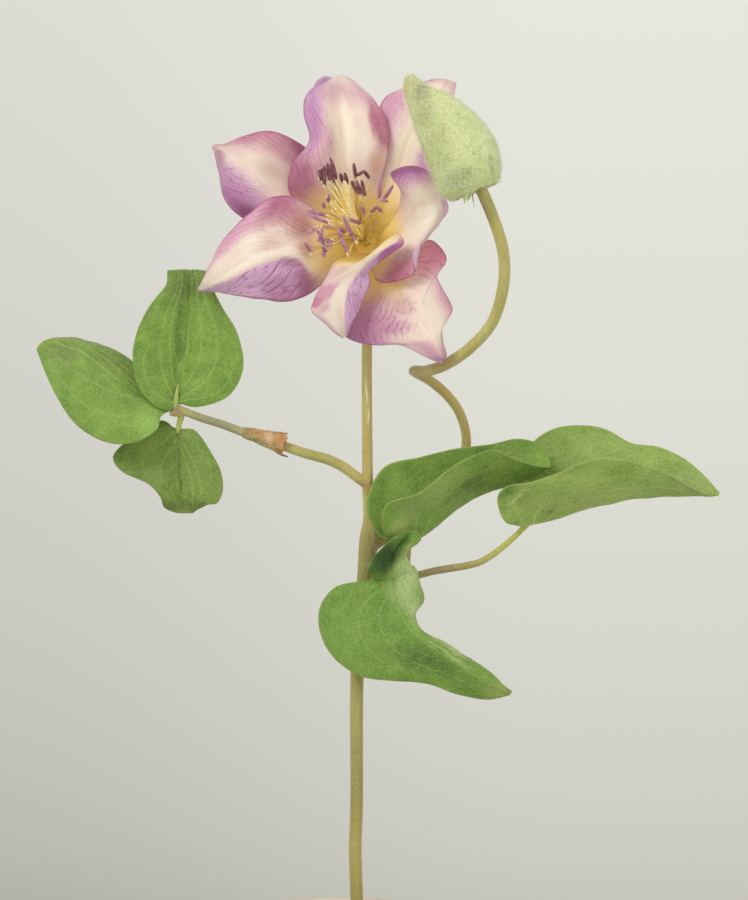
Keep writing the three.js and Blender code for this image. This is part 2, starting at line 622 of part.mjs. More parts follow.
function thread(stations) {
  const last = stations.length - 1;
  return bentCylinder(THREAD_SIDES, last, (step, x, z) => {
    const { at, radius } = stations[step];
    const ahead = stations[Math.min(step + 1, last)].at.clone();
    const along = ahead.sub(stations[Math.max(step - 1, 0)].at).normalize();
    const side = along.clone().cross(new THREE.Vector3(0, 0, 1)).normalize();
    const lift = side.clone().cross(along);
    return at.clone().addScaledVector(side, x * radius).addScaledVector(lift, z * radius);
  });
}

function stamen(root, head, lie, axis) {
  const middle = root.clone().lerp(head, 0.5).addScaledVector(axis, FILAMENT.bend);
  const spot = (share) => head.clone().addScaledVector(lie, ANTHER.length * share);
  return thread([
    { at: root, radius: FILAMENT.radius },
    { at: middle, radius: FILAMENT.radius },
    { at: head, radius: FILAMENT.radius },
    { at: spot(ANTHER.taper), radius: ANTHER.radius },
    { at: spot(1 - ANTHER.taper), radius: ANTHER.radius },
    { at: spot(1), radius: ANTHER.radius / 3 },
  ]);
}

function style(root, index, axis) {
  const angle = index * GOLDEN_ANGLE;
  const reach = STYLE.spread * Math.sqrt((index + 0.5) / STYLE.count);
  const side = new THREE.Vector3(Math.cos(angle), 0, Math.sin(angle)).multiplyScalar(reach);
  const tip = axis.clone().multiplyScalar(STYLE.length).add(side);
  const middle = root.clone().lerp(tip, 0.5).addScaledVector(side, STYLE.rootSpread);
  return thread([
    { at: root.clone().addScaledVector(side, STYLE.rootSpread), radius: STYLE.radius },
    { at: middle, radius: STYLE.radius },
    { at: tip, radius: STYLE.radius / 2 },
  ]);
}

function stamensSolid() {
  const random = seeded(STAMEN_SEED);
  const anyWay = () => new THREE.Vector3(random() - 0.5, random() - 0.5, random() - 0.5);
  const fan = new THREE.Vector3(...STAMEN_FAN);
  const axis = fan.clone().normalize();
  const seat = axis.clone().multiplyScalar(RECEPTACLE.forward);
  const dome = new THREE.SphereGeometry(RECEPTACLE.radius, RECEPTACLE.columns, RECEPTACLE.rings);
  dome.scale(1, RECEPTACLE.depth / RECEPTACLE.radius, 1);
  dome.applyQuaternion(new THREE.Quaternion().setFromUnitVectors(new THREE.Vector3(0, 1, 0), axis));
  dome.translate(...seat.toArray());
  const parts = [toSolid(dome)];
  for (const [x, y, z, count, spread] of BUNCHES) {
    for (let i = 0; i < count; i += 1) {
      const head = new THREE.Vector3(x, y, z).addScaledVector(anyWay(), 2 * spread);
      const outward = head.clone().sub(fan);
      const root = seat.clone().addScaledVector(outward, RECEPTACLE.radius / STAMEN_REACH);
      const lie = outward.normalize().add(anyWay()).addScaledVector(axis, ANTHER.lift).normalize();
      parts.push(stamen(root, head, lie, axis));
    }
  }
  for (let i = 0; i < STYLE.count; i += 1) parts.push(style(seat, i, axis));
  return union(parts);
}

// Dry sheath: a cone with the stalk passing clear through it

function sheathSolid(stalkSpace) {
  return largestBody(stalk(SHEATH, { sides: 10, steps: 6 }).subtract(stalkSpace));
}

// The whole plant, each piece in its place

const STALKS = [
  [MAIN_STEM, { sides: 8, steps: 40 }],
  [LEFT_STALK, { sides: 7, steps: 22 }],
  [LOWER_LEFT_STALK, { sides: 6, steps: 4 }],
  [RIGHT_STALK, { sides: 6, steps: 18 }],
  [INNER_RIGHT_STALK, { sides: 6, steps: 5 }],
  [LOWER_RIGHT_STALK, { sides: 6, steps: 4 }],
  [BUD_STALK, { sides: 7, steps: 42 }],
];
const stem = union(STALKS.map(([points, shape]) => stalk(points, shape)));
const stemSpace = union(STALKS.map(([points, shape]) => stalk(points, { ...shape, extra: GAP })));

const SEPALS = {
  sepal_bottom: { sections: SEPAL_BOTTOM },
  sepal_right: { sections: SEPAL_RIGHT },
  sepal_lower_left: { sections: SEPAL_LOWER_LEFT },
  sepal_top: { sections: SEPAL_TOP },
  sepal_upper_right: { sections: SEPAL_UPPER_RIGHT, shape: { creased: true, crown: 1.5 } },
  sepal_lower_right: { sections: SEPAL_LOWER_RIGHT, shape: { creased: true, crown: 1.2 } },
  sepal_upper_left: { sections: SEPAL_UPPER_LEFT, shape: { creased: true, crown: 1.2 } },
};

const LEAFLETS = {
  leaflet_left_upper: { at: LEFT_LEAF, sections: LEAFLET_LEFT_UPPER, crown: 1.8 },
  leaflet_left_outer: { at: LEFT_LEAF, sections: LEAFLET_LEFT_OUTER, crown: 1.8 },
  leaflet_left_lower: { at: LEFT_LEAF, sections: LEAFLET_LEFT_LOWER, crown: 1.6 },
  leaflet_right_inner: { at: INNER_RIGHT_LEAFLET, sections: LEAFLET_RIGHT_INNER, crown: -2 },
  leaflet_right_outer: { at: OUTER_RIGHT_LEAFLET, sections: LEAFLET_RIGHT_OUTER, crown: -2 },
  leaflet_right_lower: {
    at: LOWER_RIGHT_LEAFLET,
    sections: LEAFLET_RIGHT_LOWER,
    crown: 1.6,
    lobe: RIGHT_LOWER_LOBE,
  },
};

// Front sepals come first, and each one behind is cut clear of them and of the stem.
function sepalSolids() {
  const solids = {};
  let taken = stemSpace;
  for (const [name, { sections, shape }] of Object.entries(SEPALS)) {
    const sheet = blade(sections, SEPAL_THICKNESS, SEPAL_GRID, shape).translate(FLOWER_CENTRE);
    solids[name] = largestBody(sheet.subtract(taken));
    const room = SEPAL_THICKNESS + 2 * GAP;
    taken = taken.add(blade(sections, room, SEPAL_GRID, shape).translate(FLOWER_CENTRE));
  }
  return solids;
}

function leafletSolid({ at, sections, crown, lobe }) {
  let leaf = blade(sections, LEAF_THICKNESS, LEAF_GRID, { creased: true, crown });
  if (lobe) {
    leaf = leaf.add(blade(lobe, LEAF_THICKNESS, LOBE_GRID, { creased: true, crown: LOBE_CROWN }));
  }
  return largestBody(leaf.translate(at).subtract(stemSpace));
}

function material(color, roughness) {
  return new THREE.MeshStandardMaterial({ color, roughness, metalness: 0 });
}

const clay = material(0xd9c1a5, 0.9);
const earth = material(0x4a3a2c, 1);
const stalkGreen = material(0xa6a164, 0.7);
const sepalPink = material(0xd9b3c4, 0.6);
const stamenGold = material(0xd8b66a, 0.7);
const leafGreen = material(0x6f9a4c, 0.7);
const budGreen = material(0xc3cf92, 0.8);
const papery = material(0xc98f4e, 0.9);

const plant = new THREE.Group();

function place(name, solid, look) {
  const mesh = new THREE.Mesh(toGeometry(solid), look);
  mesh.name = name;
  plant.add(mesh);
}

place("pot", potSolid(), clay);
place("soil", soilSolid(), earth);
place("stem", stem, stalkGreen);
for (const [name, sepal] of Object.entries(sepalSolids())) place(name, sepal, sepalPink);
place("stamens", stamensSolid().translate(FLOWER_CENTRE), stamenGold);
for (const [name, leaf] of Object.entries(LEAFLETS)) place(name, leafletSolid(leaf), leafGreen);
place("bud", largestBody(budSolid().subtract(stemSpace)), budGreen);
place("dry_sheath", sheathSolid(stemSpace), papery);

export default plant;
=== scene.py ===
import math
import random

import bmesh
import bpy
import numpy as np
from mathutils import Matrix, Vector, noise


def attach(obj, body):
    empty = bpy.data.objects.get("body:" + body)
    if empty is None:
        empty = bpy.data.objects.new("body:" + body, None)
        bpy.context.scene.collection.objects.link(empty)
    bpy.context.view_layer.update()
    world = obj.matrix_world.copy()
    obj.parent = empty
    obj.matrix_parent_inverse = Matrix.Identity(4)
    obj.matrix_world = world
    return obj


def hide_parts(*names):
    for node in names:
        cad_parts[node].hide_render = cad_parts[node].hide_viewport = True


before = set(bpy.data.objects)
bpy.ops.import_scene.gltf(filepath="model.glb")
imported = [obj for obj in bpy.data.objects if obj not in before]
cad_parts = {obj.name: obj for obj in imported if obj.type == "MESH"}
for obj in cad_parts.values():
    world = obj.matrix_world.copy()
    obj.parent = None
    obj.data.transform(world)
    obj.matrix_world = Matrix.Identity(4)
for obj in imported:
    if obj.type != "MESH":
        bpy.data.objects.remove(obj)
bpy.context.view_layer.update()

# Studio: a pale grey surround that darkens towards the floor, a pale round table top under the pot
# and two large soft lights. The camera stands 1.2 m in front of the stem, level with its leaves,
# so that 1 mm at the stem is 2.8 pixels of the picture.

MM = 0.001
CAMERA_PLACE = Vector((12.24, -1200, 279)) * MM
CAMERA_LENS = 133.33
CAMERA_SENSOR = 36
SURROUND_REACH = 0.14
SURROUND_FALL = 0.45
SURROUND_RIGHT = 0.06
TABLE_RADIUS = 0.8
TABLE_FADE = 0.35


def tint(red, green, blue):
    """The linear colour that a shader takes, from a screen colour of 0 to 255."""
    linear = [((c / 255 + 0.055) / 1.055) ** 2.4 for c in (red, green, blue)]
    return (*linear, 1)


def shade(tree, kind, sockets=None, **settings):
    """Adds a shader node. Each of sockets takes a number, a colour or another node's output."""
    made = tree.nodes.new("ShaderNode" + kind)
    for key, value in settings.items():
        setattr(made, key, value)
    for key, value in (sockets or {}).items():
        if isinstance(value, bpy.types.NodeSocket):
            tree.links.new(value, made.inputs[key])
        else:
            made.inputs[key].default_value = value
    return made


def math_node(tree, operation, *values):
    return shade(tree, "Math", dict(enumerate(values)), operation=operation).outputs[0]


def vector_math(tree, operation, *values, result=0):
    return shade(tree, "VectorMath", dict(enumerate(values)), operation=operation).outputs[result]


def ramp(tree, value, low, high, top=1.0, smooth=False):
    """Goes from 0 to top as value goes from low to high, and stays in that range."""
    kind = "SMOOTHSTEP" if smooth else "LINEAR"
    made = shade(tree, "MapRange", {0: value, 1: low, 2: high, 4: top}, interpolation_type=kind)
    return made.outputs[0]


def blend(tree, share, first, second):
    """A colour that goes from first to second as share goes from 0 to 1."""
    mixed = shade(tree, "Mix", {0: share, 6: first, 7: second}, data_type="RGBA")
    return mixed.outputs[2]


def show(name, mesh):
    piece = bpy.data.objects.new(name, mesh)
    bpy.context.scene.collection.objects.link(piece)
    return piece


world = bpy.data.worlds.new("surround")
world.use_nodes = True
bpy.context.scene.world = world
sky = world.node_tree
sky.nodes.clear()
direction = shade(sky, "TexCoord").outputs["Generated"]
ways = shade(sky, "SeparateXYZ", {0: direction})
level = ramp(sky, ways.outputs["Z"], -SURROUND_REACH, SURROUND_REACH)
height_share = math_node(sky, "POWER", level, SURROUND_FALL)
right_share = ramp(sky, ways.outputs["X"], -SURROUND_REACH, SURROUND_RIGHT, smooth=True)
left_side = blend(sky, height_share, tint(164, 164, 152), tint(220, 220, 213))
right_side = blend(sky, height_share, tint(190, 189, 178), tint(231, 231, 222))
surround = blend(sky, right_share, left_side, right_side)
background = shade(sky, "Background", {"Color": surround, "Strength": 1.0})
sky.links.new(background.outputs[0], shade(sky, "OutputWorld").inputs["Surface"])

camera = bpy.data.objects.new("camera", bpy.data.cameras.new("camera"))
camera.data.lens = CAMERA_LENS
camera.data.sensor_width = CAMERA_SENSOR
camera.location = CAMERA_PLACE
camera.rotation_euler = (math.radians(90), 0, 0)
bpy.context.scene.collection.objects.link(camera)
bpy.context.scene.camera = camera
bpy.context.scene.view_settings.view_transform = "Standard"


def soft_light(name, place, power, size):
    lamp = bpy.data.lights.new(name, "AREA")
    lamp.energy = power
    lamp.size = size
    holder = bpy.data.objects.new(name, lamp)
    holder.location = place
    aim = Vector((0, 0, 0.3)) - Vector(place)
    holder.rotation_euler = aim.to_track_quat("-Z", "Y").to_euler()
    bpy.context.scene.collection.objects.link(holder)


soft_light("key_light", (-0.9, -1.1, 1.3), power=13, size=0.7)
soft_light("fill_light", (1.2, -0.9, 0.7), power=4, size=1.2)

shape = bmesh.new()
bmesh.ops.create_circle(shape, cap_ends=True, segments=128, radius=TABLE_RADIUS)
table_mesh = bpy.data.meshes.new("table_top")
shape.to_mesh(table_mesh)
shape.free()
table_top = show("table_top", table_mesh)
table_paint = bpy.data.materials.new("pale table")
table_paint.use_nodes = True
tree = table_paint.node_tree
place = shade(tree, "TexCoord").outputs["Object"]
distance = vector_math(tree, "LENGTH", place, result="Value")
fade = ramp(tree, distance, TABLE_FADE, TABLE_RADIUS, smooth=True)
clear = shade(tree, "BsdfTransparent")
paint = tree.nodes["Principled BSDF"]
paint.inputs["Base Color"].default_value = tint(222, 221, 214)
paint.inputs["Roughness"].default_value = 0.6
layers = shade(tree, "MixShader", {0: fade, 1: paint.outputs[0], 2: clear.outputs[0]})
tree.links.new(layers.outputs[0], tree.nodes["Material Output"].inputs["Surface"])
table_mesh.materials.append(table_paint)

# Pot: a plain machine-pressed clay pot, unglazed and dusty, with a thick rim band and three drain
# holes in its flat base. Watering has left a paler, chalky bloom round the rim. It is turned as one
# wall from a profile, and the drain holes are cut through its base.

POT = {
    "height": 110,
    "rim_radius": 58,
    "rim_foot_radius": 57,
    "rim_height": 22,
    "body_top_radius": 52.5,
    "base_radius": 39,
    "inner_base_radius": 36,
    "wall": 5,
    "base": 6,
    "lip": 1.5,
    "edge": 1,
    "drain_radius": 4.5,
    "drain_ring": 22,
    "drain_count": 3,
    "segments": 144,
    "corner": 0.55,
}


def start_group(name, **inputs):
    """A shared effect with the named inputs, numbers or vectors, and one Share output."""
    group = bpy.data.node_groups.new(name, "ShaderNodeTree")
    for key, value in inputs.items():
        kind = "NodeSocketVector" if isinstance(value, tuple) else "NodeSocketFloat"
        made = group.interface.new_socket(key.title(), in_out="INPUT", socket_type=kind)
        made.default_value = value
    group.interface.new_socket("Share", in_out="OUTPUT", socket_type="NodeSocketFloat")
    return group, group.nodes.new("NodeGroupInput").outputs


def end_group(group, share):
    group.links.new(share, group.nodes.new("NodeGroupOutput").inputs["Share"])


def shared(tree, name, **values):
    """Adds a shared effect. Each value is a number, a vector or another node's output."""
    effect = tree.nodes.new("ShaderNodeGroup")
    effect.node_tree = bpy.data.node_groups[name]
    for key, value in values.items():
        socket = effect.inputs[key.title()]
        if isinstance(value, bpy.types.NodeSocket):
            tree.links.new(value, socket)
        else:
            socket.default_value = value
    return effect.outputs["Share"]


group, given = start_group("mottle", scale=100.0, detail=4.0, low=0.4, high=0.6, stretch=(1, 1, 1))
stretched = vector_math(group, "MULTIPLY", shade(group, "TexCoord").outputs["Object"], given["Stretch"])
cloud = shade(group, "TexNoise",
              {"Vector": stretched, "Scale": given["Scale"], "Detail": given["Detail"]})
end_group(group, ramp(group, cloud.outputs[0], given["Low"], given["High"]))


def mottle(tree, **values):
    """Soft irregular patches in the object's own space; share runs from 0 to 1 over them."""
    return shared(tree, "mottle", **values)


def times(tree, first, second):
    return math_node(tree, "MULTIPLY", first, second)


def layer(tree, body, share, strength, paint):
    """Lays a paint over a colour where share is 1, at a strength of up to 1."""
    return blend(tree, times(tree, share, strength), body, tint(*paint))


def toned(tree, dark, light, **values):
    """A colour that goes between two in soft patches. values go to mottle."""
    return blend(tree, mottle(tree, **values), tint(*dark), tint(*light))


def flecked(tree, body, strength, paint, **values):
    """Lays a paint over a colour in soft flecks. values go to mottle."""
    return layer(tree, body, mottle(tree, **values), strength, paint)


def axis_part(tree, axis, place):
    """One of a place's three parts: X, Y or Z."""
    return shade(tree, "SeparateXYZ", {0: place}).outputs[axis]


# Strength of the painted glow that the sepals, the gold cup and the styles give off
GLOW = 0.16


def finish(name, colour, roughness, height=None, depth=0.0002, glow=None, **plain):
    """A surface: its colour, its relief as height in metres of depth, a painted glow that stands in
    for light coming through it, and plain shader values."""
    material = bpy.data.materials.new(name)
    material.use_nodes = True
    tree = material.node_tree
    surface = tree.nodes["Principled BSDF"]
    tree.links.new(colour(tree), surface.inputs["Base Color"])
    surface.inputs["Roughness"].default_value = roughness
    for key, value in plain.items():
        surface.inputs[key.replace("_", " ")].default_value = value
    if glow:
        light = glow(tree)
        if isinstance(light, bpy.types.NodeSocket):
            tree.links.new(light, surface.inputs["Emission Color"])
        else:
            surface.inputs["Emission Color"].default_value = light
        surface.inputs["Emission Strength"].default_value = GLOW
    if height:
        relief = shade(tree, "Bump", {"Height": height(tree), "Distance": depth, "Strength": 1.0})
        tree.links.new(relief.outputs[0], surface.inputs["Normal"])
    return material


def clay_colour(tree):
    fired = toned(tree, (190, 122, 88), (211, 150, 114), scale=35, low=0.35, high=0.65)
    speckled = flecked(tree, fired, 0.5, (150, 92, 66), scale=900, low=0.62, high=0.72, detail=2.0)
    level = axis_part(tree, "Z", shade(tree, "TexCoord").outputs["Object"])
    high_up = ramp(tree, level, 0.074, 0.109)
    bloom = mottle(tree, scale=60, low=0.38, high=0.62, detail=6.0)
    chalk = times(tree, high_up, math_node(tree, "MULTIPLY_ADD", bloom, 0.6, 0.3))
    rim = blend(tree, chalk, speckled, tint(228, 205, 178))
    low_down = ramp(tree, level, 0.022, 0.002)
    damp = times(tree, low_down, mottle(tree, scale=80, low=0.3, high=0.6))
    return blend(tree, damp, rim, tint(158, 98, 70))


def clay_grain(tree):
    turning = mottle(tree, scale=14, stretch=(1, 1, 40), low=0.3, high=0.7, detail=3.0)
    grains = mottle(tree, scale=1300, low=0.3, high=0.7, detail=3.0)
    return math_node(tree, "ADD", times(tree, turning, 0.8), times(tree, grains, 0.5))


def spin_profile(name, profile, segments, corner=0.0):
    """Turns a profile of (radius, height) in mm round the Z axis, its corners rounded by corner."""
    shape = bmesh.new()
    points = [shape.verts.new((radius * MM, 0, height * MM)) for radius, height in profile]
    for start, end in zip(points, points[1:]):
        shape.edges.new((start, end))
    if corner:
        bmesh.ops.bevel(shape, geom=points[1:-1], offset=corner * MM, segments=3, profile=0.5,
                        affect="VERTICES", material=-1)
    bmesh.ops.spin(shape, geom=shape.verts[:] + shape.edges[:], cent=(0, 0, 0), axis=(0, 0, 1),
                   angle=math.tau, steps=segments, use_merge=True)
    bmesh.ops.remove_doubles(shape, verts=shape.verts, dist=1e-6)
    bmesh.ops.recalc_face_normals(shape, faces=shape.faces)
    for face in shape.faces:
        face.smooth = True
    mesh = bpy.data.meshes.new(name)
    shape.to_mesh(mesh)
    shape.free()
    return mesh


def applied(piece):
    """Turns a piece's modifiers into its own mesh."""
    graph = bpy.context.evaluated_depsgraph_get()
    mesh = bpy.data.meshes.new_from_object(piece.evaluated_get(graph))
    piece.modifiers.clear()
    piece.data = mesh


shoulder = POT["height"] - POT["rim_height"]
pot_profile = [
    (0, 0),
    (POT["base_radius"] - POT["edge"], 0),
    (POT["base_radius"], POT["edge"]),
    (POT["body_top_radius"], shoulder),
    (POT["rim_foot_radius"] - POT["edge"], shoulder),
    (POT["rim_foot_radius"], shoulder + POT["edge"]),
    (POT["rim_radius"], POT["height"] - POT["lip"]),
    (POT["rim_radius"] - POT["lip"], POT["height"]),
    (POT["rim_radius"] - POT["wall"] + POT["lip"], POT["height"]),
    (POT["rim_radius"] - POT["wall"], POT["height"] - POT["lip"]),
    (POT["body_top_radius"] - POT["wall"], shoulder),
    (POT["inner_base_radius"], POT["base"]),
    (0, POT["base"]),
]
pot = show("clay_pot", spin_profile("clay_pot", pot_profile, POT["segments"], POT["corner"]))
shape = bmesh.new()
for index in range(POT["drain_count"]):
    turn = (index + 0.5) * math.tau / POT["drain_count"]
    spot = Vector((math.cos(turn), math.sin(turn), 0)) * POT["drain_ring"] * MM
    bmesh.ops.create_cone(shape, cap_ends=True, segments=32, radius1=POT["drain_radius"] * MM,
                          radius2=POT["drain_radius"] * MM, depth=4 * POT["base"] * MM,
                          matrix=Matrix.Translation(spot))
drain_mesh = bpy.data.meshes.new("drain")
shape.to_mesh(drain_mesh)
shape.free()
drain = show("drain", drain_mesh)
cut = pot.modifiers.new("drain holes", "BOOLEAN")
cut.operation = "DIFFERENCE"
cut.object = drain
applied(pot)
bpy.data.objects.remove(drain)
pot.data.materials.clear()
pot.data.materials.append(finish("unglazed clay", clay_colour, 0.92, clay_grain, depth=0.00025))
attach(pot, "root")
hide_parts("pot")

# Soil: damp, crumbly potting mix that fills the pot to 12 mm under its rim. Its top is uneven and
# strewn with loose crumbs, bits of bark and a few white grains of perlite.

SOIL = {"top": 98, "crown": 2.5, "bottom": 6.3, "clear": 0.6, "rings": 46, "segments": 120}
SOIL_RELIEF = 1.1
CRUMBS = {"count": 520, "small": 0.5, "large": 1.7, "seed": 7}
PERLITE_SHARE = 0.06
BARK_SHARE = 0.14


def inner_radius(height):
    """The pot's inner radius at a height, in mm."""
    low = POT["inner_base_radius"]
    middle = POT["body_top_radius"] - POT["wall"]
    high = POT["rim_radius"] - POT["wall"]
    if height < shoulder:
        return low + (middle - low) * (height - POT["base"]) / (shoulder - POT["base"])
    return middle + (high - middle) * (height - shoulder) / (POT["rim_height"] - POT["lip"])


def soil_level(x, y):
    """The height of the soil's top at a place, in mm."""
    edge = inner_radius(SOIL["top"] - SOIL["crown"]) - SOIL["clear"]
    dome = SOIL["top"] - SOIL["crown"] * (math.hypot(x, y) / edge) ** 2
    lumps = noise.fractal(Vector((x, y, 0)) * 0.16, 0.8, 2.1, 4)
    return dome + SOIL_RELIEF * lumps


def soil_colour(tree):
    earth = toned(tree, (52, 38, 28), (88, 66, 48), scale=160, low=0.35, high=0.65)
    fibres = mottle(tree, scale=700, stretch=(1, 0.3, 1), low=0.56, high=0.68)
    return layer(tree, earth, fibres, 0.5, (122, 94, 66))


def soil_grain(tree):
    return mottle(tree, scale=600, low=0.2, high=0.8, detail=8.0)


edge = SOIL["top"] - SOIL["crown"]
edge_radius = inner_radius(edge) - SOIL["clear"]
soil_profile = [
    (0, SOIL["bottom"]),
    (inner_radius(SOIL["bottom"]) - SOIL["clear"], SOIL["bottom"]),
    (inner_radius(shoulder) - SOIL["clear"], shoulder),
    (edge_radius, edge - 0.6),
]
for ring in range(SOIL["rings"], -1, -1):
    soil_profile.append((edge_radius * ring / SOIL["rings"], SOIL["top"]))
soil_mesh = spin_profile("potting_mix", soil_profile, SOIL["segments"])
for vertex in soil_mesh.vertices:
    if vertex.co.z > (edge + SOIL["crown"] / 2) * MM:
        vertex.co.z = soil_level(vertex.co.x / MM, vertex.co.y / MM) * MM
soil = show("potting_mix", soil_mesh)
soil_mesh.materials.append(finish("damp potting mix", soil_colour, 0.95, soil_grain, depth=0.0008))
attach(soil, "root")
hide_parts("soil")


def plain_colour(*rgb):
    """A nearly even colour with a little natural variation."""
    def colour(tree):
        darker = tuple(c * 0.72 for c in tint(*rgb)[:3]) + (1,)
        return blend(tree, mottle(tree, scale=500, low=0.3, high=0.7), darker, tint(*rgb))
    return colour


def copies(name, start, count, placed):
    """Many small copies of one shape in one mesh. placed gives each copy's matrix from its index."""
    mesh = bpy.data.meshes.new(name)
    shape = bmesh.new()
    start(shape)
    shape.to_mesh(mesh)
    shape.free()
    shape = bmesh.new()
    shape.from_mesh(mesh)
    corners = np.array([vertex.co[:] + (1,) for vertex in shape.verts])
    corner = shape.verts.layers.int.new("corner")
    for index, vertex in enumerate(shape.verts):
        vertex[corner] = index
    while len(shape.verts) < count * len(corners):
        missing = count * len(corners) - len(shape.verts)
        shape.verts.ensure_lookup_table()
        verts = shape.verts[:missing]
        chosen = set(verts)
        faces = [face for face in shape.faces if face.verts[0] in chosen]
        edges = [edge for edge in shape.edges if edge.verts[0] in chosen]
        bmesh.ops.duplicate(shape, geom=verts + edges + faces)
    order = np.array([vertex[corner] for vertex in shape.verts]).reshape(count, -1)
    shape.verts.layers.int.remove(corner)
    shape.to_mesh(mesh)
    shape.free()
    matrices = np.array([placed(index) for index in range(count)])
    places = np.einsum("nij,nkj->nki", matrices, corners[order])[..., :3]
    mesh.vertices.foreach_set("co", places.astype(np.float32).ravel())
    mesh.update()
    return mesh


def crumb_start(shape):
    bmesh.ops.create_icosphere(shape, subdivisions=1, radius=MM)
    for index, vertex in enumerate(shape.verts):
        vertex.co *= 0.8 + 0.4 * ((index * 7) % 5) / 4


dice = random.Random(CRUMBS["seed"])


def crumb_place(_index):
    reach = (edge_radius - 3) * math.sqrt(dice.random())
    turn = dice.uniform(0, math.tau)
    x = reach * math.cos(turn)
    y = reach * math.sin(turn)
    size = CRUMBS["small"] + (CRUMBS["large"] - CRUMBS["small"]) * dice.random() ** 3
    spot = Vector((x, y, soil_level(x, y) + size * 0.35)) * MM
    spin = Matrix.Rotation(dice.uniform(0, math.tau), 4, Vector((dice.random(), dice.random(), 0.3)))
    flat = Matrix.Diagonal((size, size * dice.uniform(0.5, 1), size * dice.uniform(0.4, 0.8), 1))
    return Matrix.Translation(spot) @ spin @ flat


crumb_mesh = copies("soil_crumbs", crumb_start, CRUMBS["count"], crumb_place)
crumb_mesh.materials.append(finish("dark crumbs", plain_colour(78, 58, 43), 0.95))
crumb_mesh.materials.append(finish("bark bits", plain_colour(134, 96, 62), 0.9))
crumb_mesh.materials.append(finish("perlite", plain_colour(226, 222, 212), 0.85))
faces_each = len(crumb_mesh.polygons) // CRUMBS["count"]
for index in range(CRUMBS["count"]):
    draw = dice.random()
    kind = 2 if draw < PERLITE_SHARE else 1 if draw < PERLITE_SHARE + BARK_SHARE else 0
    for face in range(index * faces_each, (index + 1) * faces_each):
        crumb_mesh.polygons[face].material_index = kind
crumbs = show("soil_crumbs", crumb_mesh)
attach(crumbs, "root")

# Stem: a slim, faintly ribbed stem with a swollen node. From the node grow two leaf stalks and the
# flower bud's stalk, which loops once before it rises. All of it is one growth, green to tan,
# smooth above and covered with short grey down below.

MAIN_STEM = (
    (6, 0, 60, 2.3), (6, 0, 98, 2.3), (6, 0, 117, 2.2), (5.5, 0, 135, 2.2), (6, 0, 153, 2.2),
    (6, 0, 192, 2.3), (7, 0, 214, 2.4), (8.5, 0, 230, 2.5), (9.5, 0, 239, 2.9), (10, 0, 247, 2.9),
    (10.5, 0, 254.5, 2.1), (10, 0, 265, 1.9), (9.7, 0, 297, 1.8), (9.7, 0, 315, 1.8),
    (10, 3, 329.5, 1.85), (10, 6.5, 340, 1.9), (10, 6.5, 346.5, 2), (9.8, 4.8, 350, 2.2),
    (9.6, 2.6, 352.2, 2.4),
)
LEFT_STALK = (
    (10, 0, 266.5, 1.8), (5.8, -0.5, 269.5, 1.8), (1.5, -1, 272.7, 1.8), (-1.8, -1.5, 274.5, 1.8),
    (-5.2, -2.2, 275.9, 1.8), (-12, -3.2, 277.7, 1.75), (-18, -3.8, 279.7, 1.7),
    (-26.7, -4.4, 282.7, 1.55), (-34.8, -5, 285.4, 1.5), (-42.2, -5.3, 288.2, 1.45),
    (-49.6, -5.5, 290.5, 1.4), (-58.6, -5.5, 293.9, 1.4),
)
LOWER_LEFT_STALK = (
    (-56.5, -5.5, 292.6, 1.1), (-57, -4.2, 290.5, 1.1), (-57.7, -2.6, 288.6, 1),
    (-58, -1.6, 287.2, 0.9),
)
RIGHT_STALK = (
    (9.5, 0, 232, 2), (13.5, 0, 232.5, 1.7), (20, 0, 233, 1.4), (28, 0, 234, 1.3),
    (34, -1, 235.5, 1.3), (40, -1, 236.5, 1.3), (46, -1, 237.5, 1.25), (51, -1, 239, 1.15),
    (56.5, -1, 242.5, 1.1), (62.5, 0, 247.5, 1), (66.3, 0, 251.2, 0.9),
)
INNER_RIGHT_STALK = (
    (23.5, 0, 233.5, 1.3), (24, -2, 237.5, 1.1), (24.5, -3.6, 242.5, 1), (24.8, -4.4, 246, 0.9),
)
LOWER_RIGHT_STALK = (
    (16, 0, 232.8, 1.4), (16.8, -2.2, 233.4, 1.2), (18.2, -3.9, 234, 1), (19, -4.6, 234.4, 0.9),
)
BUD_STALK = (
    (9.5, 0, 241, 2.4), (12, 1, 244.5, 2.2), (16, 3, 247, 1.9), (23.5, 7, 251.5, 1.8),
    (34.5, 11, 259.5, 1.7), (43, 13, 270, 1.7), (45.5, 12, 279, 1.7), (45.5, 10, 285.5, 1.7),
    (43, 8, 293, 1.75), (38.5, 5, 299, 1.8), (32.5, 2, 304, 1.85), (27.4, -2, 306.8, 1.9),
    (27, -6, 307.3, 1.95), (31, -10, 307.2, 2), (38, -14, 309.6, 2.05), (46.3, -20, 315.2, 2.05),
    (54, -27, 324.2, 2.05), (57.6, -33, 337, 2.05), (57.2, -38, 348.5, 2.05), (53.5, -42, 360, 2.05),
    (48.5, -44, 371.5, 2.1),
)
LEFT_UPPER_NECK = (
    (-58.9, -5.9, 292.8, 1), (-58.8, -6.1, 294.6, 1.05), (-58.5, -6.8, 297, 0.9),
    (-58.3, -7.2, 299.6, 0.55), (-57.9, -7.2, 302.6, 0.15),
)
LEFT_OUTER_NECK = ((-58.8, -5.3, 293, 1), (-60.2, -5.2, 293.8, 0.8), (-61.6, -5.2, 294.6, 0.5))
LEFT_JOINT = (
    (-56.2, -5.5, 292.5, 1), (-57.6, -5.6, 292.5, 1.4), (-59.2, -5.8, 292.3, 1.4),
    (-61, -5.8, 292, 0.6),
)
LEFT_LOWER_NECK = ((-57.8, -2, 287.8, 0.95), (-58.1, -1.9, 286.6, 0.85), (-58.3, -1.7, 285, 0.6))
NODE_SWELLING = (
    (10.4, 0, 256, 1.7), (11.2, 0.1, 251.5, 2.7), (11.3, 0.1, 248, 2.9), (10.6, 0, 242, 2.5),
)
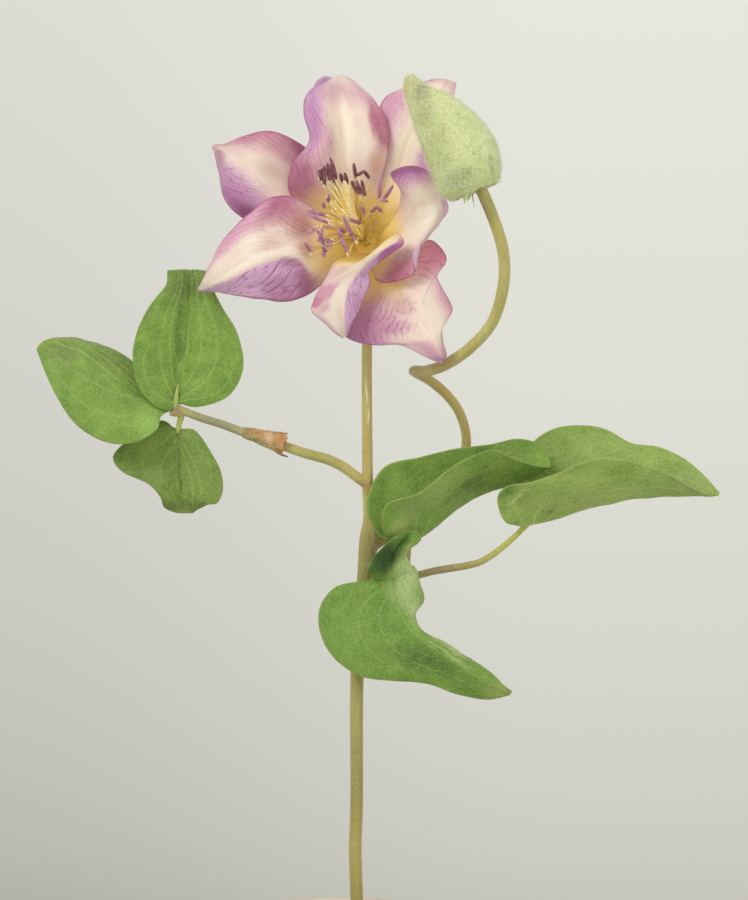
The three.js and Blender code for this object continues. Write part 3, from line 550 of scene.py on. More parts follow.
RIGHT_OUTER_NECK = (
    (64.4, -0.4, 249.4, 0.95), (66.2, -0.9, 251.2, 1.1), (67.8, -1.5, 253, 1), (69.4, -2.4, 255, 0.7),
    (71.2, -3.4, 257.4, 0.3),
)
FLOWER_NECK = ((9.8, 5.6, 349, 2), (9.6, 4.8, 352, 2.6), (9.5, 3, 353.4, 3.4), (9.5, 1.2, 353.5, 4))
STALKS = (
    (MAIN_STEM, 28, 260),
    (LEFT_STALK, 20, 110),
    (LOWER_LEFT_STALK, 12, 16),
    (RIGHT_STALK, 16, 90),
    (INNER_RIGHT_STALK, 12, 24),
    (LOWER_RIGHT_STALK, 12, 14),
    (BUD_STALK, 20, 240),
    (LEFT_UPPER_NECK, 12, 24),
    (LEFT_OUTER_NECK, 12, 12),
    (LEFT_JOINT, 16, 20),
    (LEFT_LOWER_NECK, 12, 12),
    (NODE_SWELLING, 24, 20),
    (RIGHT_OUTER_NECK, 12, 20),
    (FLOWER_NECK, 20, 16),
)
RIB_COUNT = 6
RIB_DEPTH = 0.035
KNOBBLE = {"height": 0.05, "scale": 0.35, "seed": 4}
STEM_DOWN = {"count": 9000, "length": 0.55, "radius": 0.028, "seed": 3}


def spline_weights(count, steps, smooth=True):
    """The share of each of a line's points at each step along it, on a Catmull-Rom curve."""
    weights = np.zeros((steps + 1, count))
    for step in range(steps + 1):
        at = (count - 1) * step / steps
        first = min(int(at), count - 2)
        t = at - first
        if not smooth:
            weights[step, first] += 1 - t
            weights[step, first + 1] += t
            continue
        shares = (
            (-t + 2 * t**2 - t**3) / 2,
            (2 - 5 * t**2 + 3 * t**3) / 2,
            (t + 4 * t**2 - 3 * t**3) / 2,
            (t**3 - t**2) / 2,
        )
        for index, share in zip(range(first - 1, first + 3), shares):
            if index < 0:
                weights[step, 0] += 2 * share
                weights[step, 1] -= share
            elif index == count:
                weights[step, -1] += 2 * share
                weights[step, -2] -= share
            else:
                weights[step, index] += share
    return weights


def unit(vectors):
    return vectors / np.maximum(np.linalg.norm(vectors, axis=-1, keepdims=True), 1e-9)


def tube(line, sides, steps, swell=None):
    """Rings round a line of (x, y, z, radius) in mm, as rows of places. swell scales each radius."""
    path = spline_weights(len(line), steps) @ np.array(line, float)
    along = unit(np.gradient(path[:, :3], axis=0))
    side = np.array((0, 0, 1.0)) if abs(along[0, 0]) > 0.7 else np.array((1.0, 0, 0))
    turn = np.linspace(0, math.tau, sides + 1)
    rings = []
    for step in range(steps + 1):
        side = unit(side - along[step] * (side @ along[step]))
        other = np.cross(along[step], side)
        spokes = np.cos(turn)[:, None] * side + np.sin(turn)[:, None] * other
        radius = path[step, 3] * (swell(turn, step / steps) if swell else np.ones_like(turn))
        rings.append(path[step, :3] + spokes * radius[:, None])
    return np.array(rings)


def lay_grid(shape, points, marks=None, closed=False, paint=0):
    """Adds a grid whose corners lie at points, rows of places in mm, with a UV over it.
    marks gives attributes by name, as values for each corner. closed welds its sides and fills its
    ends."""
    rows, columns = points.shape[0] - 1, points.shape[1] - 1
    uv = shape.loops.layers.uv.verify()
    layers = {}
    for name in marks or {}:
        found = shape.verts.layers.float.get(name)
        layers[name] = found or shape.verts.layers.float.new(name)
    made = bmesh.ops.create_grid(shape, x_segments=columns, y_segments=rows, size=0.5)["verts"]
    faces = {face for vertex in made for face in vertex.link_faces}
    for face in faces:
        face.smooth = True
        face.material_index = paint
        for loop in face.loops:
            loop[uv].uv = loop.vert.co.xy + Vector((0.5, 0.5))
    for vertex in made:
        row = round((vertex.co.y + 0.5) * rows)
        column = round((vertex.co.x + 0.5) * columns)
        vertex.co = points[row, column] * MM
        for name, layer in layers.items():
            vertex[layer] = marks[name][row, column]
    if closed:
        bmesh.ops.remove_doubles(shape, verts=made, dist=1e-6)
        kept = [vertex for vertex in made if vertex.is_valid]
        rims = list({edge: None for vertex in kept for edge in vertex.link_edges if edge.is_boundary})
        for face in bmesh.ops.holes_fill(shape, edges=rims, sides=0)["faces"]:
            face.material_index = paint


def meshed(name, shape, *materials):
    mesh = bpy.data.meshes.new(name)
    shape.to_mesh(mesh)
    shape.free()
    for material in materials:
        mesh.materials.append(material)
    return mesh


group, given = start_group("wash", place=(0, 0, 0), centre=(0, 0, 0), size=(1, 1, 1), turn=0.0, soft=0.9,
                           strength=1.0)
turned = shade(group, "VectorRotate",
               {"Vector": given["Place"], "Center": given["Centre"], "Angle": given["Turn"]},
               rotation_type="Z_AXIS")
offset = vector_math(group, "SUBTRACT", turned.outputs[0], given["Centre"])
scaled = vector_math(group, "DIVIDE", offset, given["Size"])
reach = vector_math(group, "LENGTH", scaled, result="Value")
inner = math_node(group, "SUBTRACT", 1.0, given["Soft"])
spot = ramp(group, reach, 1.0, inner, smooth=True)
end_group(group, times(group, spot, given["Strength"]))


def wash(tree, place, centre, size, turn=0.0, soft=0.9, strength=1.0):
    """A soft oval patch round centre, with half-widths size."""
    return shared(tree, "wash", place=place, centre=centre, size=size,
                  turn=math.radians(-turn), soft=soft, strength=strength)


def map_part(tree, axis):
    """How far a point lies across, X, or along, Y, a piece's own map."""
    return axis_part(tree, axis, shade(tree, "UVMap").outputs[0])


def wandering(tree, place, scale, detail, size):
    """A place moved about by up to half of size by smooth noise."""
    swirl = shade(tree, "TexNoise", {"Vector": place, "Scale": scale, "Detail": detail}).outputs["Color"]
    centred = vector_math(tree, "SUBTRACT", swirl, (0.5, 0.5, 0.5))
    return vector_math(tree, "MULTIPLY_ADD", centred, size, place)


def front_place(tree, wander=3.0):
    """The object's own X and Z in mm, with wandering edges, to place patches seen from the front."""
    place = shade(tree, "TexCoord").outputs["Object"]
    bent = wandering(tree, place, 110.0, 3.0, (2 * wander * MM,) * 3)
    flat = shade(tree, "CombineXYZ", {0: axis_part(tree, "X", bent), 1: axis_part(tree, "Z", bent)})
    return shade(tree, "VectorMath", {0: flat.outputs[0], "Scale": 1000.0}, operation="SCALE").outputs[0]


def patched(tree, body, place, patches):
    """Lays soft patches over a colour: (x, z, half-width, half-height, turn, strength, colour)."""
    for x, z, wide, tall, turn, strength, paint in patches:
        share = wash(tree, place, (x, z, 0), (wide, tall, 1), turn=turn, strength=strength)
        body = blend(tree, share, body, tint(*paint))
    return body


STEM_PATCHES = (
    (37, 235.5, 13, 4, 5, 1.0, (150, 132, 88)),
    (-8, 277, 14, 6, -25, 0.7, (156, 156, 76)),
    (9.4, 279, 2.4, 20, 0, 0.6, (180, 152, 78)),
    (52, 362, 4, 9, 0, 0.7, (148, 140, 72)),
    (48.6, 365.4, 10, 0.9, -61, 0.7, (116, 94, 48)),
    (50.6, 366.4, 10, 0.7, -61, 0.5, (168, 172, 84)),
    (36, 307, 10, 10, 0, 0.5, (178, 146, 92)),
    (-58.9, 292.8, 3.4, 2.2, 0, 0.85, (142, 124, 84)),
    (-58.5, 298, 1.8, 3.6, 0, 0.7, (134, 156, 66)),
    (9.5, 353, 6, 3.5, 0, 0.8, (168, 182, 96)),
    (67.6, 252.6, 1.6, 1.6, 0, 0.8, (150, 132, 74)),
    (63, 247, 20, 12, 40, 0.9, (178, 184, 78)),
    (8, 265.5, 5, 4, 0, 0.8, (168, 124, 66)),
    (10, 243, 6, 12, 0, 0.6, (136, 126, 72)),
    (27.5, 307, 6, 6, 0, 0.7, (178, 160, 116)),
    (46, 372, 5, 12, 0, 0.75, (150, 122, 66)),
    (5.4, 132, 9, 26, 0, 0.9, (178, 166, 86)),
    (5.6, 190, 8, 20, 0, 0.5, (168, 162, 92)),
    (-44, 288.5, 20, 7, -18, 1.0, (148, 146, 106)),
    (-58, 293, 3, 2.4, 0, 0.8, (146, 124, 88)),
    (-58.4, 299, 4, 6, 0, 1.0, (168, 186, 92)),
    (-57.3, 288.5, 4, 4, 0, 1.0, (192, 204, 100)),
    (9.6, 300, 0.5, 6, 2, 0.9, (228, 220, 186)),
    (10.3, 291, 0.45, 4, -4, 0.9, (226, 216, 180)),
)


def stalk_colour(tree):
    streaks = mottle(tree, scale=200, stretch=(1, 1, 0.15), low=0.3, high=0.7)
    green = blend(tree, streaks, tint(176, 166, 88), tint(196, 188, 116))
    # One side of each stalk turns tan: partly the stem's own tan, partly painted shade, as on the main
    # stem's right side, away from the key light
    around = map_part(tree, "X")
    facing = math_node(tree, "COSINE", times(tree, around, math.tau))
    right = ramp(tree, facing, -0.1, 0.95, top=0.75)
    tan_and_shaded = blend(tree, right, green, tint(190, 154, 88))
    level = axis_part(tree, "Z", shade(tree, "TexCoord").outputs["Object"])
    low_down = ramp(tree, level, 0.262, 0.235, top=0.8)
    grey = blend(tree, streaks, tint(134, 126, 56), tint(158, 150, 80))
    body = blend(tree, low_down, tan_and_shaded, grey)
    body = patched(tree, body, front_place(tree, wander=0.6), STEM_PATCHES)
    pale = flecked(tree, body, 0.3, (206, 202, 168), scale=1500, low=0.55, high=0.7, detail=2.0)
    return flecked(tree, pale, 0.25, (104, 92, 44), scale=800, low=0.6, high=0.72, detail=2.0)


def stalk_grain(tree):
    fibres = mottle(tree, scale=900, stretch=(1, 1, 0.12), low=0.2, high=0.8)
    return math_node(tree, "ADD", fibres, mottle(tree, scale=1400, low=0.2, high=0.8))


def ribbed(turn, _share):
    return 1 + RIB_DEPTH * np.cos(RIB_COUNT * turn)


def down(name, meshes, slot, material, count, length, radius, seed, lean=0.45, both=False):
    """Short hairs all over some meshes: slim three-sided spikes, rooted in their faces."""
    rng = np.random.default_rng(seed)
    roots, facings, areas = [], [], []
    for mesh in meshes:
        total = len(mesh.polygons)
        for store, field, width in ((roots, "center", 3), (facings, "normal", 3), (areas, "area", 1)):
            values = np.empty(total * width, np.float32)
            mesh.polygons.foreach_get(field, values)
            store.append(values.reshape(total, width))
    roots, facings, areas = (np.concatenate(part) for part in (roots, facings, areas))
    share = areas[:, 0].astype(float)
    picked = rng.choice(len(share), count, p=share / share.sum())
    jitter = rng.normal(0, 0.35, (count, 3)) * np.sqrt(areas[picked])
    ways = facings[picked] * (rng.choice((-1, 1), (count, 1)) if both else 1)
    ways = unit(ways + rng.normal(0, lean, (count, 3)))
    lengths = length * MM * rng.uniform(0.5, 1.2, count)
    starts = roots[picked] + jitter

    def placed(index):
        way = Vector(ways[index])
        turned = way.to_track_quat("Z", "Y").to_matrix().to_4x4()
        size = Matrix.Diagonal((radius * MM, radius * MM, lengths[index], 1))
        return Matrix.Translation(Vector(starts[index])) @ turned @ size

    def spike(shape):
        bmesh.ops.create_cone(shape, cap_ends=True, segments=3, radius1=1, radius2=0, depth=1,
                              matrix=Matrix.Translation((0, 0, 0.5)))

    hairs = show(name, copies(name, spike, count, placed))
    hairs.data.materials.append(material)
    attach(hairs, "root")
    return hairs


shape = bmesh.new()
for line, sides, steps in STALKS:
    lay_grid(shape, tube(line, sides, steps, ribbed), closed=True)
noise.seed_set(KNOBBLE["seed"])
for vertex in shape.verts:
    wobble = noise.noise_vector(vertex.co / MM * KNOBBLE["scale"])
    vertex.co += wobble * KNOBBLE["height"] * MM
stem_mesh = meshed("living_stem", shape,
                   finish("stalk skin", stalk_colour, 0.62, stalk_grain, depth=0.00012,
                          Sheen_Weight=0.25, Sheen_Roughness=0.5))
stem = show("living_stem", stem_mesh)
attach(stem, "root")
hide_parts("stem")
pale_hair = finish("pale down", plain_colour(222, 224, 196), 0.6)
down("stem_down", [stem_mesh], "stalk", pale_hair, **STEM_DOWN)

# Leaves: two leaves of three soft leaflets each. A leaflet is a thin blade, darker and grooved above,
# paler with raised veins below, downy on both sides. Each blade is laid through its sections, from
# its base to its tip, and its veins are pressed into it.

LEFT_LEAF = (-59, -5.5, 294.5)
INNER_RIGHT_LEAFLET = (25, -4.5, 247)
OUTER_RIGHT_LEAFLET = (67, 0, 252)
LOWER_RIGHT_LEAFLET = (19, -5, 235)
LEAFLET_LEFT_UPPER = (
    ((-1.6, -1.2, -1.6), (0.5, -0.6, 0.7), (2, -1, 1.1)),
    ((-6.8, -2.5, 0), (1, 0.5, 5.5), (9, -2.5, 0)),
    ((-12.6, -2.5, 6.5), (2, 1, 10.5), (19.5, -3.5, 4)),
    ((-15, -2.5, 16), (3.5, 1, 17), (24.5, -3.5, 14)),
    ((-14, -1.5, 25.5), (4.5, 1, 25), (22.5, -3, 26)),
    ((-9.5, -0.5, 35.5), (5, 1, 33.5), (17, -2, 35.5)),
    ((-3.5, 1.5, 43.5), (5.5, 2, 42), (13, 0, 43.5)),
    ((-3, 5, 48.9), (5, 5, 49), (11, 4.5, 48.6)),
    ((-0.5, 10.5, 46.5), (4.5, 11.5, 46), (9, 10.5, 46)),
    ((3, 14.5, 42), (4.5, 15, 41.5), (5.5, 14.5, 42)),
)
LEAFLET_LEFT_OUTER = (
    ((-1, 0.8, -1), (-1, 0.9, 0), (-0.8, 0.8, 1)),
    ((-5, -2.5, -3.5), (-7, 1.5, 1), (-6.5, 3.5, 5)),
    ((-6.5, -5.5, -8.5), (-12.5, 1.5, 4), (-11, 5, 11)),
    ((-14.5, -7.5, -13), (-20, 0.5, 9), (-18, 6.5, 18)),
    ((-25, -7.5, -12.5), (-26.5, 0.5, 14.5), (-27, 7.5, 22.5)),
    ((-35.5, -5.5, -6), (-33.5, 1.5, 19.5), (-33.5, 7.5, 24)),
    ((-43, -2.5, 5), (-40, 3.5, 22), (-37.5, 7, 25)),
    ((-47.5, 1.5, 14.5), (-44.5, 5.5, 23.5), (-41, 7, 25)),
    ((-50, 5.5, 21), (-48, 6.5, 23.5), (-45, 7.5, 24.5)),
    ((-47.5, 11.5, 19.5), (-46, 12.5, 20.5), (-44.5, 11.5, 21.5)),
)
LEAFLET_LEFT_LOWER = (
    ((2.4, 4, -8), (1, 4.2, -8), (-0.2, 4, -7.8)),
    ((7.5, 2.5, -9), (0.5, 4.5, -12), (-6, 5.5, -5)),
    ((13.5, 1.5, -17.5), (0.5, 5.5, -17.5), (-16, 5.5, -11)),
    ((16.5, 1.5, -24), (0.5, 6, -22.5), (-22.5, 4.5, -17.5)),
    ((17, 1.5, -30), (0.5, 6, -27), (-19.5, 2.5, -23)),
    ((15, 2, -34.5), (1, 6, -31.5), (-10, 1.5, -27.5)),
    ((12, 3.5, -35), (2.5, 6, -35), (-5.5, 2.5, -32.5)),
    ((8, 5.5, -36.6), (3.5, 6.5, -37.2), (-4, 5.5, -36.2)),
    ((6, 7.5, -38), (3.5, 7.5, -38), (1, 7.5, -38)),
    ((5.5, 12.5, -35.5), (4, 13.5, -34.5), (2.5, 12.5, -35.5)),
)
LEAFLET_RIGHT_INNER = (
    ((-2, -1, 0.4), (-0.6, 0, 0.2), (0.6, -1, -0.4)),
    ((-10.5, -0.5, 1), (3.5, 1.5, 0.5), (-7, -3.5, -0.5)),
    ((-15, -1, 10), (9.5, 2, 4.5), (-10, -8, 5.5)),
    ((-14, 0, 18.5), (14, 3.5, 8.5), (-8, -11, 13)),
    ((-8, 2, 26.5), (18, 4, 11.5), (3, -12, 16.5)),
    ((4, 4, 29.5), (23, 4, 14.5), (13, -11, 24.5)),
    ((16.5, 6, 32.5), (28.5, 4, 17), (20.5, -9, 29)),
    ((29, 8, 34), (34.5, 3.5, 19), (29.5, -6.5, 32)),
    ((39, 9, 36), (40.5, 3, 21), (37, -4, 29)),
    ((47, 8, 34), (47, 3, 23.5), (44.5, -1, 26.5)),
    ((50.5, 4.5, 29), (51, 3.5, 26.5), (50, 2, 25.5)),
)
LEAFLET_RIGHT_OUTER = (
    ((1, 2, 1), (0, 0, 0.3), (-1.5, -2, 0.3)),
    ((-4.5, 8, 3.5), (5, 0, 1), (-8, -8, 1.5)),
    ((-6.5, 11, 12.5), (11, 0, 2.5), (-10.8, -12, 9.5)),
    ((-3.5, 12, 21.5), (17, 0, 4.5), (-7.5, -14, 14)),
    ((2, 12, 29), (23.5, 0, 6.5), (0.5, -14, 15.5)),
    ((10, 11.5, 34.5), (31, 0, 8), (10, -14, 18.5)),
    ((20, 11, 36), (38, 0, 9.5), (19, -14, 22.5)),
    ((29.5, 10, 34.5), (45.5, -0.5, 10), (30, -13, 24)),
    ((38.5, 8, 29.5), (52, -1, 10.5), (42, -11, 21.5)),
    ((48.5, 6, 28), (58, -1.5, 10.5), (52, -8.5, 17.5)),
    ((58.5, 4, 23), (63, -1.5, 10.5), (60, -5.5, 13)),
    ((65.5, 1.5, 16.5), (67, -1.5, 10.5), (65.5, -3, 11)),
    ((69, -1, 12), (69.5, -1.5, 11.5), (69, -2, 10.5)),
)
LEAFLET_RIGHT_LOWER = (
    ((1.5, 0, 0), (0, 0, -0.6), (-1.5, 0, -1)),
    ((7.5, -3, 2.5), (0.5, -2, -5.5), (-11, -3, -3)),
    ((10, -3.5, -4.5), (1, -3.5, -10), (-20.5, -4, -5)),
    ((11, -3, -9.5), (2.5, -4.5, -14), (-26, -5, -12)),
    ((8, -3, -14.5), (5, -6, -18.5), (-26, -6.5, -21)),
    ((10, -3, -20.5), (9.5, -7.5, -23), (-21, -8, -30)),
    ((17, -3, -24), (14.5, -8.5, -26.5), (-11.5, -9, -36.5)),
    ((23.5, -4, -28), (20.5, -9, -30.5), (-0.5, -9, -38)),
    ((30.5, -5, -32.5), (26.5, -9, -34.5), (11.5, -8.5, -39)),
    ((36, -5.5, -36.5), (32.5, -8, -38), (23, -7.5, -43)),
    ((39.5, -5.5, -40), (38, -6.5, -41), (33.5, -6.5, -45)),
    ((42.5, -5, -42), (42, -5, -43), (41.5, -5, -43.5)),
)
RIGHT_LOWER_LOBE = (
    ((-5.5, -1, -3.4), (0, -0.5, -3.2), (8.9, -3.6, -2.6)),
    ((-9, -9, 0.4), (-1, -3.4, 2), (7.2, -3.8, 1.8)),
    ((-8.2, -10, 3.6), (-0.6, -3.8, 5.8), (5, -4, 6)),
    ((-5.6, -10, 7.5), (0.9, -4.6, 9), (5.6, -5, 8.6)),
    ((-2.1, -9.5, 10.7), (3.2, -5.5, 11.8), (8.8, -7, 10.7)),
    ((1.4, -9, 13.4), (5.7, -6.5, 13.7), (10, -8, 12.5)),
    ((5, -8, 15.5), (6.6, -7, 15.2), (8.2, -8, 15)),
)
LEAF = {"rows": 104, "columns": 88, "thickness": 0.45}
LOBE = {"rows": 48, "columns": 30, "crown": 0.6}
RIB = {"width": 0.42, "groove": 0.16}
SIDE_VEIN = {"width": 0.3, "groove": 0.12, "reach": 1.35, "rise": 0.55, "droop": 0.45, "wobble": 0.1}
# Each side vein: how far out it reaches, and where it leaves the rib and ends, as shares
SIDE_VEINS = ((0.42, 0.10, 0.94), (0.70, 0.02, 0.80), (0.90, 0.0, 0.42))
BRANCH = {"count": 7, "slant": 1.5, "width": 0.25, "share": 0.45, "wave": 0.35}
PUCKER = {"height": 0.35, "scale": 0.16}
FINE_PUCKER = {"height": 0.1, "scale": 0.55}
EDGE_WAVE = {"height": 0.4, "scale": 0.22}
# A leaf's two faces: how much paler the veins are, the net's strength, and the surface's values
LEAF_FACES = {
    "upper face": {"vein_light": 34, "net": 0.12, "rough": 0.66, "relief": 0.00022, "sheen": 0.12},
    "underside": {"vein_light": 28, "net": 0.16, "rough": 0.74, "relief": 0.00025, "sheen": 0.16},
}
LEAF_DOWN = {"count": 26000, "length": 0.85, "radius": 0.03, "seed": 11}
# Each leaf's two greens, above and below, and the patches on both faces: mostly the leaves' own
# tones, with painted shade in folds and the hood and painted light where a leaflet's shadow falls
LEAF_PAINT = {
    "left_upper": ((88, 128, 36), (128, 162, 64), (
        (-54.5, 339, 13, 10, 0, 1.0, (80, 96, 34)),
        # Painted shade in the crease beside the midrib
        (-57.4, 324, 2.4, 24, -4, 0.8, (76, 104, 34)),
        (-56.3, 309, 0.9, 15, -11, 0.7, (156, 184, 96)),
        (-52.6, 329, 0.7, 9, -7, 0.5, (140, 164, 80)),
        (-59, 308, 3, 12, 8, 0.5, (98, 128, 50)),
        (-46, 318, 10, 14, -20, 0.5, (132, 164, 70)),
        (-60, 299, 9, 5, 30, 0.5, (104, 132, 58)),
    )),
    "left_outer": ((92, 132, 40), (130, 162, 68), (
        (-80, 311, 24, 7, -28, 0.75, (100, 122, 52)),
        (-69, 300, 13, 3, -42, 0.7, (78, 108, 38)),
        (-99, 315, 11, 8, 20, 0.85, (102, 120, 60)),
        (-93, 318.5, 9, 1.6, -12, 0.7, (124, 140, 84)),
        (-90, 303, 16, 4, -30, 0.5, (106, 142, 54)),
        (-80, 291, 24, 8, -38, 0.5, (122, 160, 62)),
        (-83, 300, 18, 1.0, -36, 0.5, (100, 136, 46)),
        (-68, 288, 9, 7, 0, 0.7, (146, 186, 92)),
    )),
    "left_lower": ((90, 124, 40), (124, 150, 66), (
        # Painted light where the leaflet above casts its shadow
        (-70, 283, 12, 7, 10, 0.8, (134, 158, 76)),
        (-57.6, 270, 1.3, 13, 0, 0.8, (58, 82, 28)),
        (-56, 259, 16, 3.6, -5, 0.75, (88, 98, 34)),
        (-54, 253, 12, 4, -5, 0.5, (104, 138, 50)),
        (-48, 276, 6, 8, -20, 0.5, (118, 150, 66)),
        (-67, 270, 8, 7, -20, 0.5, (132, 146, 82)),
    )),
    "right_inner": ((92, 134, 40), (124, 156, 60), (
        (20, 266, 6, 11, -10, 0.6, (142, 172, 78)),
        (26, 281, 11, 7, 10, 0.7, (112, 160, 54)),
        (50, 288, 20, 5, 12, 0.6, (80, 112, 34)),
        (47, 267, 16, 5, 32, 0.75, (86, 110, 38)),
        (34, 264, 18, 6, 38, 0.7, (146, 164, 94)),
        (24, 256, 8, 10, 0, 0.6, (140, 158, 92)),
        (62, 279, 8, 5, 0, 0.5, (104, 126, 50)),
        (50, 278.5, 8, 2.6, 8, 0.6, (76, 100, 28)),
        (47, 267, 7, 3, 28, 0.7, (58, 80, 20)),
        # Painted light where the lowest leaflet's hood shades this one
        (20.5, 250.5, 6, 4.5, 30, 0.85, (176, 192, 110)),
    )),
    "right_outer": ((126, 158, 66), (158, 182, 96), (
        (96, 282, 26, 5, -14, 0.5, (156, 182, 98)),
        (72, 285, 10, 4, 10, 0.6, (130, 166, 66)),
        (66, 262, 7, 8, 0, 0.5, (128, 148, 72)),
        (92, 262, 24, 6, 8, 0.5, (156, 176, 96)),
        (78, 272, 18, 3, 14, 0.5, (116, 136, 58)),
        (126, 268, 13, 7, -20, 0.7, (136, 150, 88)),
        (72, 257.6, 0.7, 6, -40, 0.9, (180, 186, 92)),
        (75, 256.6, 1.8, 2.4, -30, 0.6, (88, 108, 42)),
        (79, 260.5, 9, 0.5, 24, 0.4, (176, 190, 104)),
        (59.4, 265, 7, 3, 43, 1.0, (70, 116, 30)),
        (63, 262.6, 7, 0.8, 41, 1.0, (190, 202, 132)),
    )),
    "right_lower": ((84, 126, 38), (114, 150, 56), (
        (3, 213, 10, 16, 0, 0.4, (122, 158, 70)),
        (30, 204, 20, 7, -16, 0.9, (50, 86, 16)),
        (14, 222, 4, 14, 10, 0.5, (86, 126, 40)),
        (23, 232, 9, 15, 0, 0.9, (176, 192, 136)),
        (28, 221, 6, 9, 20, 0.85, (180, 194, 140)),
        # Painted shade inside the hood of the lobe
        (15.5, 240, 9.5, 6.4, 44, 1.0, (28, 60, 4)),
        (23.5, 243, 2.6, 7, -10, 0.85, (172, 196, 120)),
        (40, 209, 15, 2.2, -31, 0.8, (176, 186, 122)),
        (39, 206.4, 15, 0.8, -31, 0.5, (200, 206, 146)),
        (46, 195, 14, 6, -20, 0.7, (84, 116, 32)),
        (57, 193, 9, 6, -20, 0.7, (146, 152, 84)),
    )),
}
# Shade that lies over a leaf's veins and down, as in the hood of the lowest leaflet
LEAF_SHADE = {"right_lower": (
    (16, 239.8, 12, 6.6, 44, 1.0, (30, 74, 0)),
    (22.4, 246.6, 5, 2.4, 40, 0.8, (60, 104, 20)),
)}


def blade_grid(sections, rows, columns, crown=0.0):
    """Places on a blade, row by row, with a creased rib and arched halves where crown is given."""
    corners = np.array(sections, float)
    creased = corners.shape[1] == 3
    across = spline_weights(corners.shape[1], columns, smooth=not creased)
    along = spline_weights(corners.shape[0], rows)
    points = np.einsum("rn,nmk,cm->rck", along, corners, across)
    if creased:
        half = (np.arange(columns + 1) / columns * 2) % 1
        share = np.arange(rows + 1) / rows
        rise = np.sqrt(np.sin(np.pi * share).clip(0)) * (1 - share**2) ** 1.5
        points = points + facing_of(points) * (crown * 4 * rise[:, None] * half * (1 - half))[..., None]
    return points


def facing_of(points):
    """The direction that the upper face looks in at each corner."""
    return unit(np.cross(np.gradient(points, axis=1), np.gradient(points, axis=0)))


def grid_shares(points):
    """How far across, from -1 at the left margin to 1 at the right one, and how far along, 0 to 1."""
    rows, columns = points.shape[:2]
    across = np.broadcast_to(np.linspace(-1, 1, columns), (rows, columns))
    along = np.broadcast_to(np.linspace(0, 1, rows)[:, None], (rows, columns))
    return across, along


def near_line(field, points, width, offset=None):
    """1 where field, or offset where it is given, is zero, falling off over width in mm."""
    step_across = np.linalg.norm(np.gradient(points, axis=1), axis=2)
    step_along = np.linalg.norm(np.gradient(points, axis=0), axis=2)
    slope = np.hypot(np.gradient(field, axis=1) / np.maximum(step_across, 1e-3),
                     np.gradient(field, axis=0) / np.maximum(step_along, 1e-3))
    apart = field if offset is None else offset
    return np.exp(-(apart / np.maximum(slope, 1e-3) / width) ** 2)


def leaf_veins(points, seed):
    """The rib, and the arching side veins with their slanting branches, as shares at each corner."""
    across, along = grid_shares(points)
    rib = near_line(across, points, RIB["width"]) * (1 - along**3)
    veins = np.zeros_like(along)
    for side in (-1, 1):
        for index, (reach, start, end) in enumerate(SIDE_VEINS):
            wobble = 1 + SIDE_VEIN["wobble"] * math.sin(seed * 3.1 + index * 2.3 + side)
            t = ((along - start) / (end - start)).clip(0, 1)
            arch = t ** SIDE_VEIN["rise"] * (1 - SIDE_VEIN["droop"] * t**2)
            path = side * reach * wobble * SIDE_VEIN["reach"] * arch
            line = near_line(across - path, points, SIDE_VEIN["width"])
            veins = np.maximum(veins, line * (t > 0) * (1 - t) ** 0.4)
    slant = along * BRANCH["count"] - np.abs(across) * BRANCH["slant"]
    slant = slant + BRANCH["wave"] * np.sin(across * BRANCH["count"] + seed)
    branches = near_line(slant, points, BRANCH["width"], (slant + 0.5) % 1 - 0.5)
    return rib, np.maximum(veins, branches * BRANCH["share"] * (1 - np.abs(across) ** 4))


def noise_grid(points, scale, seed):
    """Smooth noise at each corner, between about -1 and 1."""
    flat = points.reshape(-1, 3) * scale + seed * 17.0
    return np.array([noise.noise(Vector(spot)) for spot in flat]).reshape(points.shape[:2])


def rib_distance(tree):
    """How far a point lies from a blade's midrib, 0 there to 1 at the margin."""
    return math_node(tree, "ABSOLUTE", math_node(tree, "MULTIPLY_ADD", map_part(tree, "X"), 2, -1))


def leaf_colour(deep, light, patches, vein_light, net, shadows):
    def colour(tree):
        cloud = mottle(tree, scale=150, low=0.3, high=0.7)
        place = front_place(tree)
        base = patched(tree, blend(tree, cloud, tint(*deep), tint(*light)), place, patches)
        uv = shade(tree, "UVMap").outputs[0]
        bent = shade(tree, "TexNoise", {"Vector": uv, "Scale": 9.0}).outputs["Color"]
        warped = vector_math(tree, "MULTIPLY_ADD", bent, (0.12, 0.12, 0), uv)
        cells = shade(tree, "TexVoronoi", {"Vector": warped, "Scale": 26.0}, feature="DISTANCE_TO_EDGE")
        mesh_line = ramp(tree, cells.outputs[0], 0.1, 0.0, top=net)
        pale = tint(*(part + vein_light for part in light))
        netted = blend(tree, mesh_line, base, pale)
        vein = shade(tree, "Attribute", attribute_name="vein").outputs["Fac"]
        veined = blend(tree, times(tree, vein, 0.62), netted, pale)
        edge = ramp(tree, rib_distance(tree), 0.97, 0.995, top=0.35)
        edged = blend(tree, edge, veined, tint(168, 178, 96))
        felted = flecked(tree, edged, 0.34, (164, 184, 86), scale=1900, low=0.46, high=0.66, detail=3.0)
        pitted = flecked(tree, felted, 0.35, (60, 88, 20), scale=1300, low=0.5, high=0.7, detail=3.0)
        return patched(tree, pitted, place, shadows)
    return colour


def leaf_grain(tree):
    lumps = mottle(tree, scale=420, low=0.2, high=0.8)
    felt = mottle(tree, scale=1900, low=0.3, high=0.7, detail=2.0)
    return math_node(tree, "ADD", lumps, times(tree, felt, 0.5))


def leaf_finish(place):
    """A leaf's upper and lower finish."""
    deep, light, patches = LEAF_PAINT[place]
    shadows = LEAF_SHADE.get(place, ())
    return [finish(f"{place} leaf, {face}",
                   leaf_colour(deep, light, patches, look["vein_light"], look["net"], shadows),
                   look["rough"], leaf_grain, depth=look["relief"],
                   Sheen_Weight=look["sheen"], Sheen_Roughness=0.45)
            for face, look in LEAF_FACES.items()]


